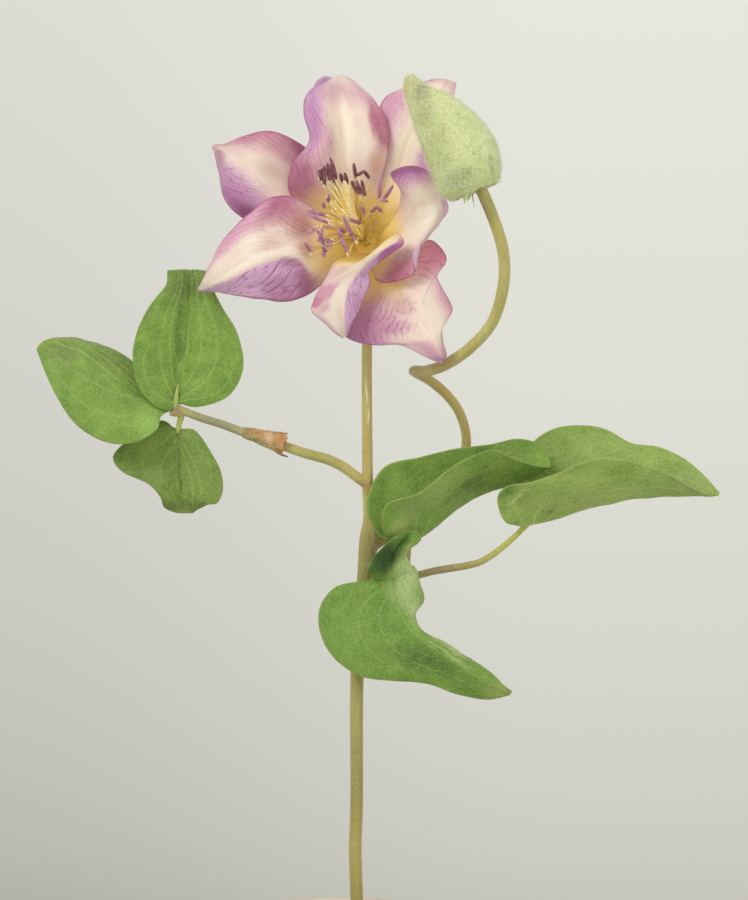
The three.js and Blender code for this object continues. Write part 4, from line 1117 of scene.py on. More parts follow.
def leaf_surface(at, sections, rows, columns, crown, seed):
    points = blade_grid(sections, rows, columns, crown) + np.array(at, float)
    facing = facing_of(points)
    across, along = grid_shares(points)
    rib, veins = leaf_veins(points, seed)
    inside = np.sin(np.pi * along).clip(0) ** 0.5 * (1 - np.abs(across)) ** 0.3
    relief = -RIB["groove"] * rib - SIDE_VEIN["groove"] * veins
    relief = relief + PUCKER["height"] * noise_grid(points, PUCKER["scale"], seed) * inside
    relief = relief + FINE_PUCKER["height"] * noise_grid(points, FINE_PUCKER["scale"], seed + 5) * inside
    waves = noise_grid(points, EDGE_WAVE["scale"], seed + 9) * np.abs(across) ** 3
    relief = relief + EDGE_WAVE["height"] * waves * np.sin(np.pi * along).clip(0)
    return points + facing * relief[..., None], np.maximum(rib, veins * 0.9)


def thicken(piece, thickness):
    wall = piece.modifiers.new("thickness", "SOLIDIFY")
    wall.thickness = thickness * MM
    wall.offset = 0
    wall.material_offset = 1
    wall.material_offset_rim = 0
    wall.use_rim = True


def grow_leaf(place, at, sections, crown, seed, lobe=None):
    shape = bmesh.new()
    points, vein = leaf_surface(at, sections, LEAF["rows"], LEAF["columns"], crown, seed)
    lay_grid(shape, points, {"vein": vein})
    if lobe:
        points, vein = leaf_surface(at, lobe, LOBE["rows"], LOBE["columns"], LOBE["crown"], seed)
        lay_grid(shape, points, {"vein": vein})
    mesh = meshed(place + "_leaf", shape, *leaf_finish(place))
    leaf = show(place + "_leaf", mesh)
    thicken(leaf, LEAF["thickness"])
    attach(leaf, "root")
    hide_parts("leaflet_" + place)
    return mesh


leaf_meshes = [
    grow_leaf("left_upper", LEFT_LEAF, LEAFLET_LEFT_UPPER, crown=1.8, seed=1),
    grow_leaf("left_outer", LEFT_LEAF, LEAFLET_LEFT_OUTER, crown=1.8, seed=2),
    grow_leaf("left_lower", LEFT_LEAF, LEAFLET_LEFT_LOWER, crown=1.6, seed=3),
    grow_leaf("right_inner", INNER_RIGHT_LEAFLET, LEAFLET_RIGHT_INNER, crown=-2, seed=4),
    grow_leaf("right_outer", OUTER_RIGHT_LEAFLET, LEAFLET_RIGHT_OUTER, crown=-2, seed=5),
    grow_leaf("right_lower", LOWER_RIGHT_LEAFLET, LEAFLET_RIGHT_LOWER, crown=1.6, seed=6,
              lobe=RIGHT_LOWER_LOBE),
]
leaf_hair = finish("leaf down", plain_colour(194, 206, 150), 0.6)
down("leaf_down", leaf_meshes, "leaf", leaf_hair, both=True, **LEAF_DOWN)

# Sepals: the seven petal-like sepals of the open bloom. Each is one soft, thin blade, gold at its
# base, cream in the middle and flushed pink to purple at its margins, with fine darker veins and
# three long ribs. They grow from one small receptacle, and the front ones overlap those behind.

FLOWER_CENTRE = (9.5, 0, 353.5)
SEPAL_TOP = (
    ((-3, -1, 3), (-2, -1.2, 3.6), (-1, -1.5, 4), (0, -1.2, 4), (1, -1, 4)),
    ((-12.5, -5, 8.5), (-7.5, -6, 10.5), (-3, -4, 12.5), (0, -5, 12.5), (3.5, -5, 12)),
    ((-26.5, -6, 16), (-16, -9.5, 18.5), (-6, -6, 20), (0, -8, 20.5), (5, -6.5, 20.5)),
    ((-27, -7, 27), (-16.5, -11, 27), (-7, -7, 28), (0.5, -10.5, 28.5), (7.5, -7.5, 30)),
    ((-20.5, -5, 36.5), (-14.5, -10.5, 36), (-7.5, -7, 36.5), (1.5, -10.5, 37), (8, -7, 37)),
    ((-22.5, -3, 47), (-16, -9, 46), (-8.5, -6, 45.5), (0, -9, 45), (6.5, -5, 45)),
    ((-20.9, -1, 54.2), (-16.5, -5, 53.6), (-9.5, -3.5, 53.5), (-3, -6, 53), (1.5, -3, 52.5)),
    ((-16.2, 1, 57.4), (-13.2, 0, 58.6), (-10.5, 0, 60), (-8.4, 0.5, 60.3), (-6, 2, 59.5)),
)
SEPAL_UPPER_RIGHT = (
    ((0.5, 1, 4.5), (1.5, 0.6, 4), (2.5, 1, 3)),
    ((0.5, -1.5, 13.5), (6, -4, 11.5), (13, -7.5, 5)),
    ((2, -2, 24.5), (10.5, -4.5, 22.5), (20, -8.5, 14)),
    ((3.5, -2, 36), (14, -5, 34), (24, -6.5, 27)),
    ((4, -1.5, 45), (19, -4.5, 44), (28.5, -4, 37.5)),
    ((6.5, 0, 52), (23.5, -3, 51), (31, -2, 47)),
    ((14, 2, 56), (27, 0.5, 56), (31.5, 1, 53)),
    ((24, 5, 59.5), (28.5, 5, 59.5), (32.5, 5, 58)),
)
SEPAL_RIGHT = (
    ((3.5, -1, 2), (3.7, -1.5, 1.2), (4, -1.6, 0.4), (4, -1.5, -0.5), (3.5, -1, -1.5)),
    ((7, -8, 5), (8, -10, 3), (9, -10.5, 0.5), (6.5, -10, -4), (2.5, -8.5, -8)),
    ((11.5, -13, 11.5), (12.5, -16, 6.5), (12.5, -17, 2), (9, -18, -6.5), (4, -16, -14.5)),
    ((12, -19, 17.5), (15, -22, 11.5), (16, -21, 4), (13.5, -23, -6), (10.5, -21, -15)),
    ((8.5, -24, 23), (16, -27, 15.5), (19.5, -25, 6), (18.5, -27.5, -4), (17, -25, -12)),
    ((15, -27, 25.5), (19.5, -29, 17), (22.5, -26.5, 7.5), (20.5, -29, 0.5), (16.5, -28, -5.5)),
    ((22, -25, 23.5), (24, -27, 16.5), (25.5, -26, 9.5), (24, -27, 4.5), (21.5, -26, 0)),
    ((25.5, -22, 16.5), (26.5, -22.5, 14), (27, -22, 11.5), (26.5, -22.5, 8), (24.5, -22, 4)),
    ((27.5, -17, 15.5), (28.5, -17, 13.5), (29, -16.5, 12), (28.5, -17, 9.5), (26.5, -17, 7)),
)
SEPAL_LOWER_RIGHT = (
    ((3.5, 1, -2), (2.5, 0.6, -3), (1.5, 1, -4)),
    ((9, -7, -5), (5.5, -9, -9.5), (0.5, -8, -11)),
    ((16.5, -12, -4.5), (10, -15.5, -15.5), (-2, -13, -18)),
    ((23, -15, 0), (13.5, -19.5, -20.5), (-5.5, -16, -26)),
    ((28.5, -18, -6.5), (17, -22, -25), (-7.5, -17, -31)),
    ((25, -20, -12), (19, -23.5, -28), (-7, -17.5, -34.5)),
    ((26.5, -21, -17), (21, -24.5, -31.5), (-2.5, -18.5, -36.5)),
    ((30.5, -21, -24.5), (23, -25.5, -34.5), (3.5, -20.5, -37.5)),
    ((27, -22.5, -29.5), (25, -26, -38), (12, -23, -37.5)),
    ((27, -24, -36), (26.5, -25.5, -41.5), (20.5, -25, -41.5)),
    ((28.5, -24, -40.5), (28, -24, -42.5), (26.5, -24, -44)),
)
SEPAL_BOTTOM = (
    ((0.8, -1, -3.8), (0, -1.4, -4.1), (-0.8, -1.5, -4.2), (-1.7, -1.4, -4.1), (-2.6, -1, -3.8)),
    ((5, -14, -4.5), (2, -14, -6), (-2, -13.5, -7), (-5, -13, -7), (-8, -12.5, -6)),
    ((10.5, -28, 1.5), (7, -26.5, -1), (-1.5, -21, -7.5), (-7, -20, -8.5), (-11.5, -18, -8)),
    ((13.2, -30, -2), (9, -30.4, -2.5), (-1, -25, -8), (-7.5, -23.5, -10), (-13, -20, -11)),
    ((8, -28.4, -5.8), (4, -30.4, -5.2), (-3, -28, -10.5), (-9, -26, -13), (-14.5, -22, -14)),
    ((1.5, -25, -11), (-2.5, -29.5, -11.5), (-8, -28, -14.5), (-12.5, -26.5, -16), (-16.5, -23, -17.5)),
    (
        (1, -25, -16), (-5.5, -30.5, -15.5), (-10.5, -29, -18.5), (-14.5, -27.5, -20.5),
        (-18.5, -24, -21.5),
    ),
    ((-1, -25.5, -21.5), (-7.5, -31.5, -22), (-11.5, -30, -24), (-15.5, -28.5, -26), (-19, -25.5, -26)),
    (
        (-3.5, -26.5, -27), (-7.5, -31.5, -27), (-10, -30.5, -28.5), (-12.5, -29.5, -30),
        (-14.5, -28, -30),
    ),
    (
        (-5.5, -28.5, -30.5), (-7.4, -31, -31), (-8.8, -30.6, -32), (-10.2, -30.2, -33),
        (-11.5, -29.5, -33),
    ),
    ((-6.8, -29, -34.5), (-7.2, -29.4, -34.8), (-7.6, -29.5, -35), (-8, -29.4, -35), (-8.4, -29, -35)),
)
SEPAL_LOWER_LEFT = (
    ((-3.4, -1, -2.8), (-3.8, -1.4, -2), (-4, -1.5, -1), (-4, -1.4, 0), (-3.6, -1, 1)),
    ((-10, -8, -6.5), (-10.5, -9.5, -4.5), (-10.5, -9.5, -1.5), (-10, -9, 1.5), (-8.5, -7.5, 5.5)),
    ((-16, -12, -15.5), (-19.5, -17, -10), (-18.5, -17, -3.5), (-18, -15, 3), (-17, -11, 10)),
    ((-22.5, -12, -20), (-25, -21.5, -6.5), (-26.5, -19.5, -2.5), (-26.5, -17, 5), (-24, -12, 15)),
    ((-29.5, -11, -21.5), (-32.5, -22, -7.5), (-35, -20, -3.5), (-35, -17, 5), (-32.5, -12, 16)),
    ((-38.5, -12, -20.5), (-41, -21, -11), (-43.5, -19, -7.5), (-44, -16.5, -0.5), (-41.5, -12, 10)),
    ((-48, -13, -19), (-49.5, -18.5, -14.5), (-51.5, -17, -12.5), (-52.5, -15, -8.5), (-50.5, -12, 1)),
    (
        (-54.5, -13, -18), (-55.5, -15, -16.5), (-56.5, -14.5, -15.5), (-57, -13.5, -13),
        (-55.5, -12, -8.5),
    ),
    (
        (-59.4, -12, -18), (-59.6, -12.4, -17.6), (-59.8, -12.5, -17.2), (-59.7, -12.4, -16.8),
        (-59.4, -12, -16.4),
    ),
)
SEPAL_UPPER_LEFT = (
    ((-4, 1, 0), (-4.2, 0.6, 1), (-4, 1, 2.5)),
    ((-12.5, -3, 0), (-12.5, -2.5, 5), (-9.5, 0, 13)),
    ((-24, -5, 2), (-23, -3.5, 12.5), (-17.5, 0.5, 30)),
    ((-34, -5.5, 4.5), (-32.5, -5, 17), (-26, -0.5, 37)),
    ((-44, -5, 8.5), (-41, -6, 22), (-35.5, -1, 40.2)),
    ((-51, -3, 15.5), (-48, -5, 27.5), (-44.5, -1.5, 38.2)),
    ((-53, -1, 25.5), (-52.5, -2, 32), (-50.5, -1, 35.8)),
    ((-55, 1, 34), (-55.5, 1, 34.6), (-55, 1, 35.4)),
)
SEPAL = {"rows": 96, "columns": 56, "thickness": 0.5, "rib_spread": 0.24, "rib_width": 0.9,
         "rib_groove": 0.22, "edge_wave": 0.5, "wave_scale": 0.2, "swell": 0.3, "swell_scale": 0.13}
CREAM = (243, 226, 208)
PINK = (210, 142, 170)
MAUVE = (182, 124, 168)
BASE_GREEN = (194, 200, 140)
PURPLE = (146, 76, 130)
PLUM = (138, 58, 126)
GOLD = (240, 210, 132)
AMBER = (232, 196, 92)
# Each wash: across, along, half-width, half-length, softness, colour, strength, veining. Most are
# the sepals' own colours; some are painted shade and one is painted light, as marked
WASHES = {
    "top": (
        (0.08, 0.78, 0.3, 0.42, 0.6, (202, 148, 192), 1, 0.9),
        (0.26, 0.52, 0.16, 0.22, 0.9, (212, 164, 176), 0.9, 0.6),
        (0.06, 0.36, 0.28, 0.22, 0.7, (172, 102, 126), 1, 1),
        (0.2, 0.24, 0.2, 0.12, 0.9, (200, 142, 130), 0.8, 0.4),
        (1, 0.67, 0.28, 0.22, 0.35, (188, 116, 134), 1, 0.8),
        (0.9, 0.42, 0.2, 0.14, 0.9, (228, 184, 162), 0.9, 0.4),
        (0.84, 0.86, 0.34, 0.16, 0.9, (212, 162, 178), 0.8, 0.4),
        (0.42, 0.88, 0.42, 0.18, 0.9, (206, 164, 174), 0.85, 0.4),
        (0.54, 0.62, 0.12, 0.28, 0.9, (252, 238, 218), 0.95, 0),
        (0.4, 0.42, 0.1, 0.18, 0.9, (234, 206, 186), 0.7, 0.1),
    ),
    "upper_right": (
        (0.5, 1, 0.8, 0.14, 0.9, (222, 168, 180), 0.6, 0.2),
        (0.02, 0.64, 0.5, 0.36, 0.9, (208, 152, 178), 1, 0.5),
        (0.1, 0.42, 0.2, 0.2, 0.9, (206, 152, 160), 0.6, 0.3),
        (1, 0.42, 0.42, 0.24, 0.8, (196, 142, 186), 1, 0.6),
        (0.52, 0.48, 0.24, 0.36, 0.9, (238, 222, 194), 0.9, 0),
        (0.6, 0.86, 0.3, 0.1, 0.9, (238, 220, 204), 0.8, 0),
    ),
    "right": (
        (0, 0.6, 0.3, 0.3, 0.9, (184, 122, 170), 1, 1),
        (0, 0.56, 0.1, 0.22, 0.7, PURPLE, 0.9, 1),
        (0.94, 0.38, 0.32, 0.22, 0.9, (198, 122, 142), 1, 1),
        (0.86, 0.52, 0.22, 0.12, 0.9, (218, 152, 182), 0.8, 0.4),
        (0.98, 0.62, 0.26, 0.18, 0.9, (244, 176, 202), 1, 0.4),
        (0.5, 1.02, 0.9, 0.2, 0.3, (228, 172, 202), 1, 0.2),
        (0.5, 0.55, 0.2, 0.34, 0.9, (248, 230, 212), 0.95, 0.05),
        (0.44, 0.68, 0.14, 0.16, 0.9, (254, 242, 228), 0.9, 0),
    ),
    "lower_right": (
        # Pink, lightened as painted light where the right sepal's shadow falls
        (0.04, 0.32, 0.36, 0.18, 0.7, (238, 164, 182), 1, 0.7),
        (0, 0.36, 0.16, 0.1, 0.8, (222, 142, 164), 0.8, 0.6),
        (0.9, 0.43, 0.48, 0.38, 0.9, (194, 134, 168), 1, 1),
        (0.6, 0.36, 0.2, 0.1, 0.9, (208, 164, 162), 0.8, 0.8),
        (0.98, 0.58, 0.2, 0.28, 0.8, (180, 118, 160), 0.8, 0.8),
        (0.8, 0.24, 0.3, 0.12, 0.9, (202, 140, 140), 0.7, 0.8),
        (0.36, 0.62, 0.22, 0.34, 0.9, (242, 222, 206), 0.95, 0.1),
        (0.38, 0.33, 0.14, 0.07, 0.9, (240, 208, 200), 0.8, 0.2),
        # Painted shade
        (0.55, 0.31, 0.14, 0.07, 0.9, (204, 168, 158), 0.8, 0.6),
        (0.72, 0.5, 0.18, 0.16, 0.9, (190, 134, 160), 0.8, 1),
        (0.5, 1, 0.9, 0.2, 0.9, (206, 146, 176), 0.95, 0.4),
        (0, 0.72, 0.14, 0.3, 0.8, PINK, 0.9, 0.3),
        (0.66, 0.86, 0.3, 0.2, 0.9, (206, 150, 180), 0.8, 0.5),
    ),
    "bottom": (
        # The next two: the sepal's pink, darkened as painted shade above a crease
        (0.92, 0.57, 0.52, 0.11, 0.45, (214, 156, 176), 1, 0.2),
        (0.94, 0.62, 0.22, 0.06, 0.6, (198, 124, 148), 0.9, 0.2),
        (0.86, 0.84, 0.22, 0.2, 0.9, (226, 188, 196), 0.8, 0.1),
        (0.7, 0.68, 0.2, 0.06, 0.9, (206, 162, 174), 0.85, 0.1),
        (0.74, 0.36, 0.2, 0.1, 0.9, (212, 184, 164), 0.8, 0.1),
        (0, 0.76, 0.27, 0.46, 0.14, (222, 180, 218), 1, 1),
        (0.06, 0.74, 0.1, 0.16, 0.9, (202, 146, 190), 0.8, 1),
        (0, 0.36, 0.26, 0.11, 0.25, (182, 104, 168), 1, 0.4),
        (0.56, 0.86, 0.22, 0.2, 0.9, CREAM, 0.8, 0),
        # Painted shade near the throat
        (0.56, 0.45, 0.34, 0.1, 0.9, (232, 210, 188), 0.8, 0),
    ),
    "lower_left": (
        (0.94, 0.48, 0.32, 0.18, 0.9, (170, 96, 122), 1, 1),
        (0.78, 0.34, 0.3, 0.13, 0.9, (180, 120, 104), 0.9, 0.9),
        (0.98, 0.68, 0.26, 0.24, 0.8, (212, 154, 180), 1, 0.6),
        (0, 0.6, 0.285, 0.49, 0.12, (232, 184, 226), 1, 1),
        (0.04, 0.5, 0.18, 0.14, 0.9, (184, 128, 170), 0.8, 1),
        # The next four: painted shade under the fold, in the middle and beside the stamens
        (0.05, 0.33, 0.26, 0.14, 0.8, (166, 102, 138), 0.95, 1),
        (0.22, 0.42, 0.06, 0.12, 0.8, (170, 116, 148), 0.7, 1),
        (0.56, 0.48, 0.16, 0.12, 0.9, (214, 182, 172), 0.8, 0.5),
        (0.5, 0.28, 0.2, 0.08, 0.9, (172, 116, 104), 0.85, 0.5),
        (0.4, 0.76, 0.11, 0.32, 0.8, (248, 232, 210), 0.95, 0),
    ),
    "upper_left": (
        (0, 0.68, 0.7, 0.44, 0.6, (202, 152, 190), 1, 0.9),
        (0.1, 0.62, 0.34, 0.24, 0.9, (166, 108, 152), 0.9, 1),
        (0.05, 0.53, 0.22, 0.14, 0.8, (116, 52, 94), 0.95, 0.7),
        (1, 0.64, 0.3, 0.34, 0.9, (190, 124, 148), 1, 0.7),
        (1, 0.39, 0.36, 0.15, 0.8, (146, 74, 102), 1, 0.7),
        (0.88, 0.48, 0.16, 0.12, 0.9, (188, 134, 146), 0.8, 0.6),
        # Painted shade
        (0.68, 0.45, 0.18, 0.2, 0.9, (206, 178, 168), 0.95, 0),
        (0.74, 0.74, 0.16, 0.14, 0.9, (220, 184, 184), 0.7, 0.2),
        (0.45, 0.87, 0.34, 0.13, 0.9, (196, 138, 166), 0.9, 0.5),
        (0.5, 1, 0.8, 0.07, 0.6, (232, 182, 192), 0.95, 0.2),
        (0.6, 1, 0.5, 0.02, 0.8, (170, 116, 84), 0.8, 0),
    ),
}

group, given = start_group("streaks", across=30.0, along=3.0, bend=1.5, thin=0.1, fan=0.0, gaps=0.45)
uv = shade(group, "UVMap").outputs[0]
parts = shade(group, "SeparateXYZ", {0: uv}).outputs
from_rib = math_node(group, "ABSOLUTE", math_node(group, "SUBTRACT", parts["X"], 0.5))
fanned = math_node(group, "SUBTRACT", from_rib, times(group, parts["Y"], given["Fan"]))
spread = times(group, fanned, given["Across"])
swirl = shade(group, "TexNoise", {"Vector": uv, "Scale": 5.0, "Detail": 2.0}).outputs[0]
bent = math_node(group, "MULTIPLY_ADD", math_node(group, "SUBTRACT", swirl, 0.5),
                 times(group, given["Bend"], 2.0), spread)
apart = math_node(group, "PINGPONG", bent, 0.5)
line = ramp(group, apart, given["Thin"], 0.0, smooth=True)
stretch = shade(group, "CombineXYZ", {
    0: times(group, bent, 0.9),
    1: times(group, parts["Y"], given["Along"]),
    2: math_node(group, "GREATER_THAN", parts["X"], 0.5),
}).outputs[0]
cloud = shade(group, "TexNoise", {"Vector": stretch, "Scale": 1.0, "Detail": 1.0}).outputs[0]
whole = ramp(group, cloud, given["Gaps"], math_node(group, "ADD", given["Gaps"], 0.08))
end_group(group, times(group, line, whole))


def streaks(tree, **values):
    """Thin broken lines along a piece, which leave its middle line at a slant where fan is given."""
    return shared(tree, "streaks", **values)


def sepal_place(tree):
    """The sepal's own map with wandering edges."""
    return wandering(tree, shade(tree, "UVMap").outputs[0], 6.0, 4.0, (0.12, 0.10, 0))


def blend_value(tree, share, first, second):
    """A number that goes from first to second as share goes from 0 to 1."""
    return shade(tree, "Mix", {0: share, 2: first, 3: second}, data_type="FLOAT").outputs[0]


def sepal_colour(washes):
    def colour(tree):
        place = sepal_place(tree)
        along = axis_part(tree, "Y", place)
        from_rib = rib_distance(tree)
        body = toned(tree, CREAM, (238, 214, 200), scale=120, low=0.35, high=0.65)
        flush = ramp(tree, from_rib, 0.3, 0.95, top=0.6, smooth=True)
        body = blend(tree, flush, body, tint(216, 164, 184))
        veined = 0.1
        for x, y, wide, long, soft, paint, strength, veins in washes:
            share = wash(tree, place, (x, y, 0), (wide, long, 1), soft=soft, strength=strength)
            body = blend(tree, share, body, tint(*paint))
            veined = blend_value(tree, share, veined, veins)
        fine = streaks(tree, across=52.0, along=9.0, bend=1.6, thin=0.26, fan=0.45, gaps=0.4)
        faint = layer(tree, body, fine, times(tree, veined, 0.34), PURPLE)
        bold = streaks(tree, across=20.0, along=7.0, bend=1.0, thin=0.19, fan=0.8, gaps=0.44)
        lined = layer(tree, faint, bold, times(tree, veined, 0.75), PLUM)
        freckles = mottle(tree, scale=520, low=0.6, high=0.68, detail=1.0)
        lined = layer(tree, lined, freckles, times(tree, veined, 0.4), PLUM)
        golden = ramp(tree, along, 0.34, 0.14, smooth=True)
        gilded = blend(tree, golden, lined, tint(*GOLD))
        deep = ramp(tree, along, 0.2, 0.04)
        amber = layer(tree, gilded, deep, 0.8, AMBER)
        rim = ramp(tree, from_rib, 0.95, 0.985, top=0.7)
        return blend(tree, rim, amber, tint(166, 84, 120))
    return colour


def sepal_glow(tree):
    """A painted glow: the thin gold base gives off a little light, the rest of the sepal a dim one, in
    place of light coming through from behind.
    """
    along = axis_part(tree, "Y", sepal_place(tree))
    golden = ramp(tree, along, 0.36, 0.08, smooth=True)
    return blend(tree, golden, tint(92, 72, 80), tint(240, 204, 104))


def sepal_grain(tree):
    ribs = streaks(tree, across=60.0, along=2.0, bend=0.8, thin=0.4, gaps=0.2)
    crepe = mottle(tree, scale=700, low=0.2, high=0.8)
    return math_node(tree, "ADD", times(tree, ribs, 0.5), times(tree, crepe, 0.5))


def centre_reach(tree):
    """How far a point lies from the middle of the flower, in metres."""
    place = shade(tree, "TexCoord").outputs["Object"]
    middle = Vector(FLOWER_CENTRE) * MM
    return vector_math(tree, "DISTANCE", place, middle, result="Value")


def sepal_back_colour(tree):
    body = toned(tree, (238, 206, 230), (226, 180, 218), scale=90, low=0.3, high=0.7)
    from_rib = rib_distance(tree)
    side_rib = math_node(tree, "ABSOLUTE", math_node(tree, "SUBTRACT", from_rib, SEPAL["rib_spread"]))
    near_rib = math_node(tree, "MINIMUM", from_rib, side_rib)
    ribs = ramp(tree, near_rib, 0.07, 0.0, top=0.6, smooth=True)
    ribbed_body = blend(tree, ribs, body, tint(*MAUVE))
    fine = streaks(tree, across=34.0, along=5.0, bend=1.2, thin=0.2, fan=0.6)
    lined = layer(tree, ribbed_body, fine, 0.4, MAUVE)
    base = ramp(tree, centre_reach(tree), 0.018, 0.009, smooth=True)
    cloud = mottle(tree, scale=220, low=0.35, high=0.65)
    return blend(tree, base, lined, blend(tree, cloud, tint(*BASE_GREEN), tint(212, 210, 160)))


FOLDED_TIP = (
    ((-16.4, -0.4, 49.2), (-15.6, -0.4, 48.8), (-14.8, -0.4, 49.2)),
    ((-18.4, 0.6, 52.4), (-15.4, 1.2, 52), (-12.2, 1.2, 52.4)),
    ((-19.2, 1.6, 55.6), (-15.4, 2.4, 56.4), (-11, 2.8, 56.4)),
    ((-18, 1.8, 58.6), (-15, 2.2, 59.6), (-11.4, 2.6, 59.2)),
    ((-16.2, 2.2, 60.2), (-14.2, 2.4, 60.4), (-12.2, 2.6, 59.8)),
)
CUP = {"radius": 11, "rings": 14, "segments": 72, "rise": 2.0, "slope": 0.42, "ragged": 0.7}
sepal_skin = {"Subsurface_Weight": 0.15, "Subsurface_Radius": (1.0, 0.5, 0.4),
              "Subsurface_Scale": 0.002, "Sheen_Weight": 0.15, "Sheen_Roughness": 0.5}
sepal_back = finish("sepal back", sepal_back_colour, 0.55, sepal_grain, depth=0.00012, **sepal_skin)


def grow_sepal(place, sections, seed, crown=0.0, extra=None):
    """One sepal, replacing its node. extra is a folded tip, shown with its back outwards."""
    centre_place = np.array(FLOWER_CENTRE, float)
    points = blade_grid(sections, SEPAL["rows"], SEPAL["columns"], crown) + centre_place
    across, along = grid_shares(points)
    ends = np.sin(np.pi * along).clip(0)
    relief = SEPAL["swell"] * noise_grid(points, SEPAL["swell_scale"], seed) * ends
    for rib in (-SEPAL["rib_spread"], 0, SEPAL["rib_spread"]):
        path = rib * (0.35 + 0.65 * ends)
        relief -= SEPAL["rib_groove"] * near_line(across - path, points, SEPAL["rib_width"]) * ends
    waves = noise_grid(points, SEPAL["wave_scale"], seed + 7) * np.abs(across) ** 3
    relief += SEPAL["edge_wave"] * waves * ends
    points = points + facing_of(points) * relief[..., None]
    shape = bmesh.new()
    lay_grid(shape, points)
    if extra:
        lay_grid(shape, blade_grid(extra, 16, 16) + centre_place, paint=1)
    front = finish("sepal " + place, sepal_colour(WASHES[place]), 0.5, sepal_grain, depth=0.00012,
                   glow=sepal_glow, **sepal_skin)
    sepal = show(place + "_sepal", meshed(place + "_sepal", shape, front, sepal_back))
    thicken(sepal, SEPAL["thickness"])
    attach(sepal, "root")
    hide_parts("sepal_" + place)


grow_sepal("top", SEPAL_TOP, seed=21, extra=FOLDED_TIP)
grow_sepal("upper_right", SEPAL_UPPER_RIGHT, seed=22, crown=1.5)
grow_sepal("right", SEPAL_RIGHT, seed=23)
grow_sepal("lower_right", SEPAL_LOWER_RIGHT, seed=24, crown=1.2)
grow_sepal("bottom", SEPAL_BOTTOM, seed=25)
grow_sepal("lower_left", SEPAL_LOWER_LEFT, seed=26)
grow_sepal("upper_left", SEPAL_UPPER_LEFT, seed=27, crown=1.2)


def cup_colour(tree):
    outward = ramp(tree, centre_reach(tree), 0.003, 0.011)
    body = blend(tree, outward, tint(*AMBER), tint(240, 212, 130))
    return flecked(tree, body, 0.4, (206, 186, 84), scale=260, low=0.45, high=0.6)


# A painted glow that lightens the gold cup where it lies in shade
def cup_glow(_tree):
    return tint(240, 204, 104)


shape = bmesh.new()
bmesh.ops.create_circle(shape, cap_ends=True, segments=CUP["segments"], radius=CUP["radius"])
face = shape.faces[:][0]
for ring in range(CUP["rings"] - 1):
    bmesh.ops.inset_individual(shape, faces=[face], thickness=CUP["radius"] / CUP["rings"])
for vertex in shape.verts:
    x, z = vertex.co.xy
    reach = math.hypot(x, z)
    wave = 1 + CUP["ragged"] / CUP["radius"] * noise.noise(Vector((x, z, 3)) * 0.5)
    y = CUP["rise"] - CUP["slope"] * reach
    vertex.co = (Vector(FLOWER_CENTRE) + Vector((x * wave, y, z * wave))) * MM
for face in shape.faces:
    face.smooth = True
cup_skin = finish("gold cup", cup_colour, 0.5, sepal_grain, depth=0.0001, glow=cup_glow, **sepal_skin)
cup = show("flower_cup", meshed("flower_cup", shape, cup_skin, sepal_back))
thicken(cup, SEPAL["thickness"])
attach(cup, "root")

# Stamens: some forty pale filaments fan out of the receptacle, each with a long flattened head,
# maroon above and mauve below. A tuft of pale, downy styles stands among them.

STAMEN_FAN = (-9, -17, 12)
RECEPTACLE = {"radius": 2.0, "depth": 1.6, "forward": 1.8}
BARE_THREADS = {"count": 90, "radius": 0.2, "reach": (7, 15), "spread": 0.42}
HEAD = {"width": 0.72, "depth": 0.45, "bow": 0.35, "sides": 8, "steps": 9, "tip_forward": 1.5,
        "foot_back": 1.0}
FILAMENT = {"radius": 0.34, "bend": 3.0, "sides": 6, "steps": 12}
STYLES = {"count": 46, "radius": 0.46, "spread": 1.1, "aims": (-11.4, -7.2, -6.6), "forward": -18,
          "low": 6, "high": 19, "seed": 5}
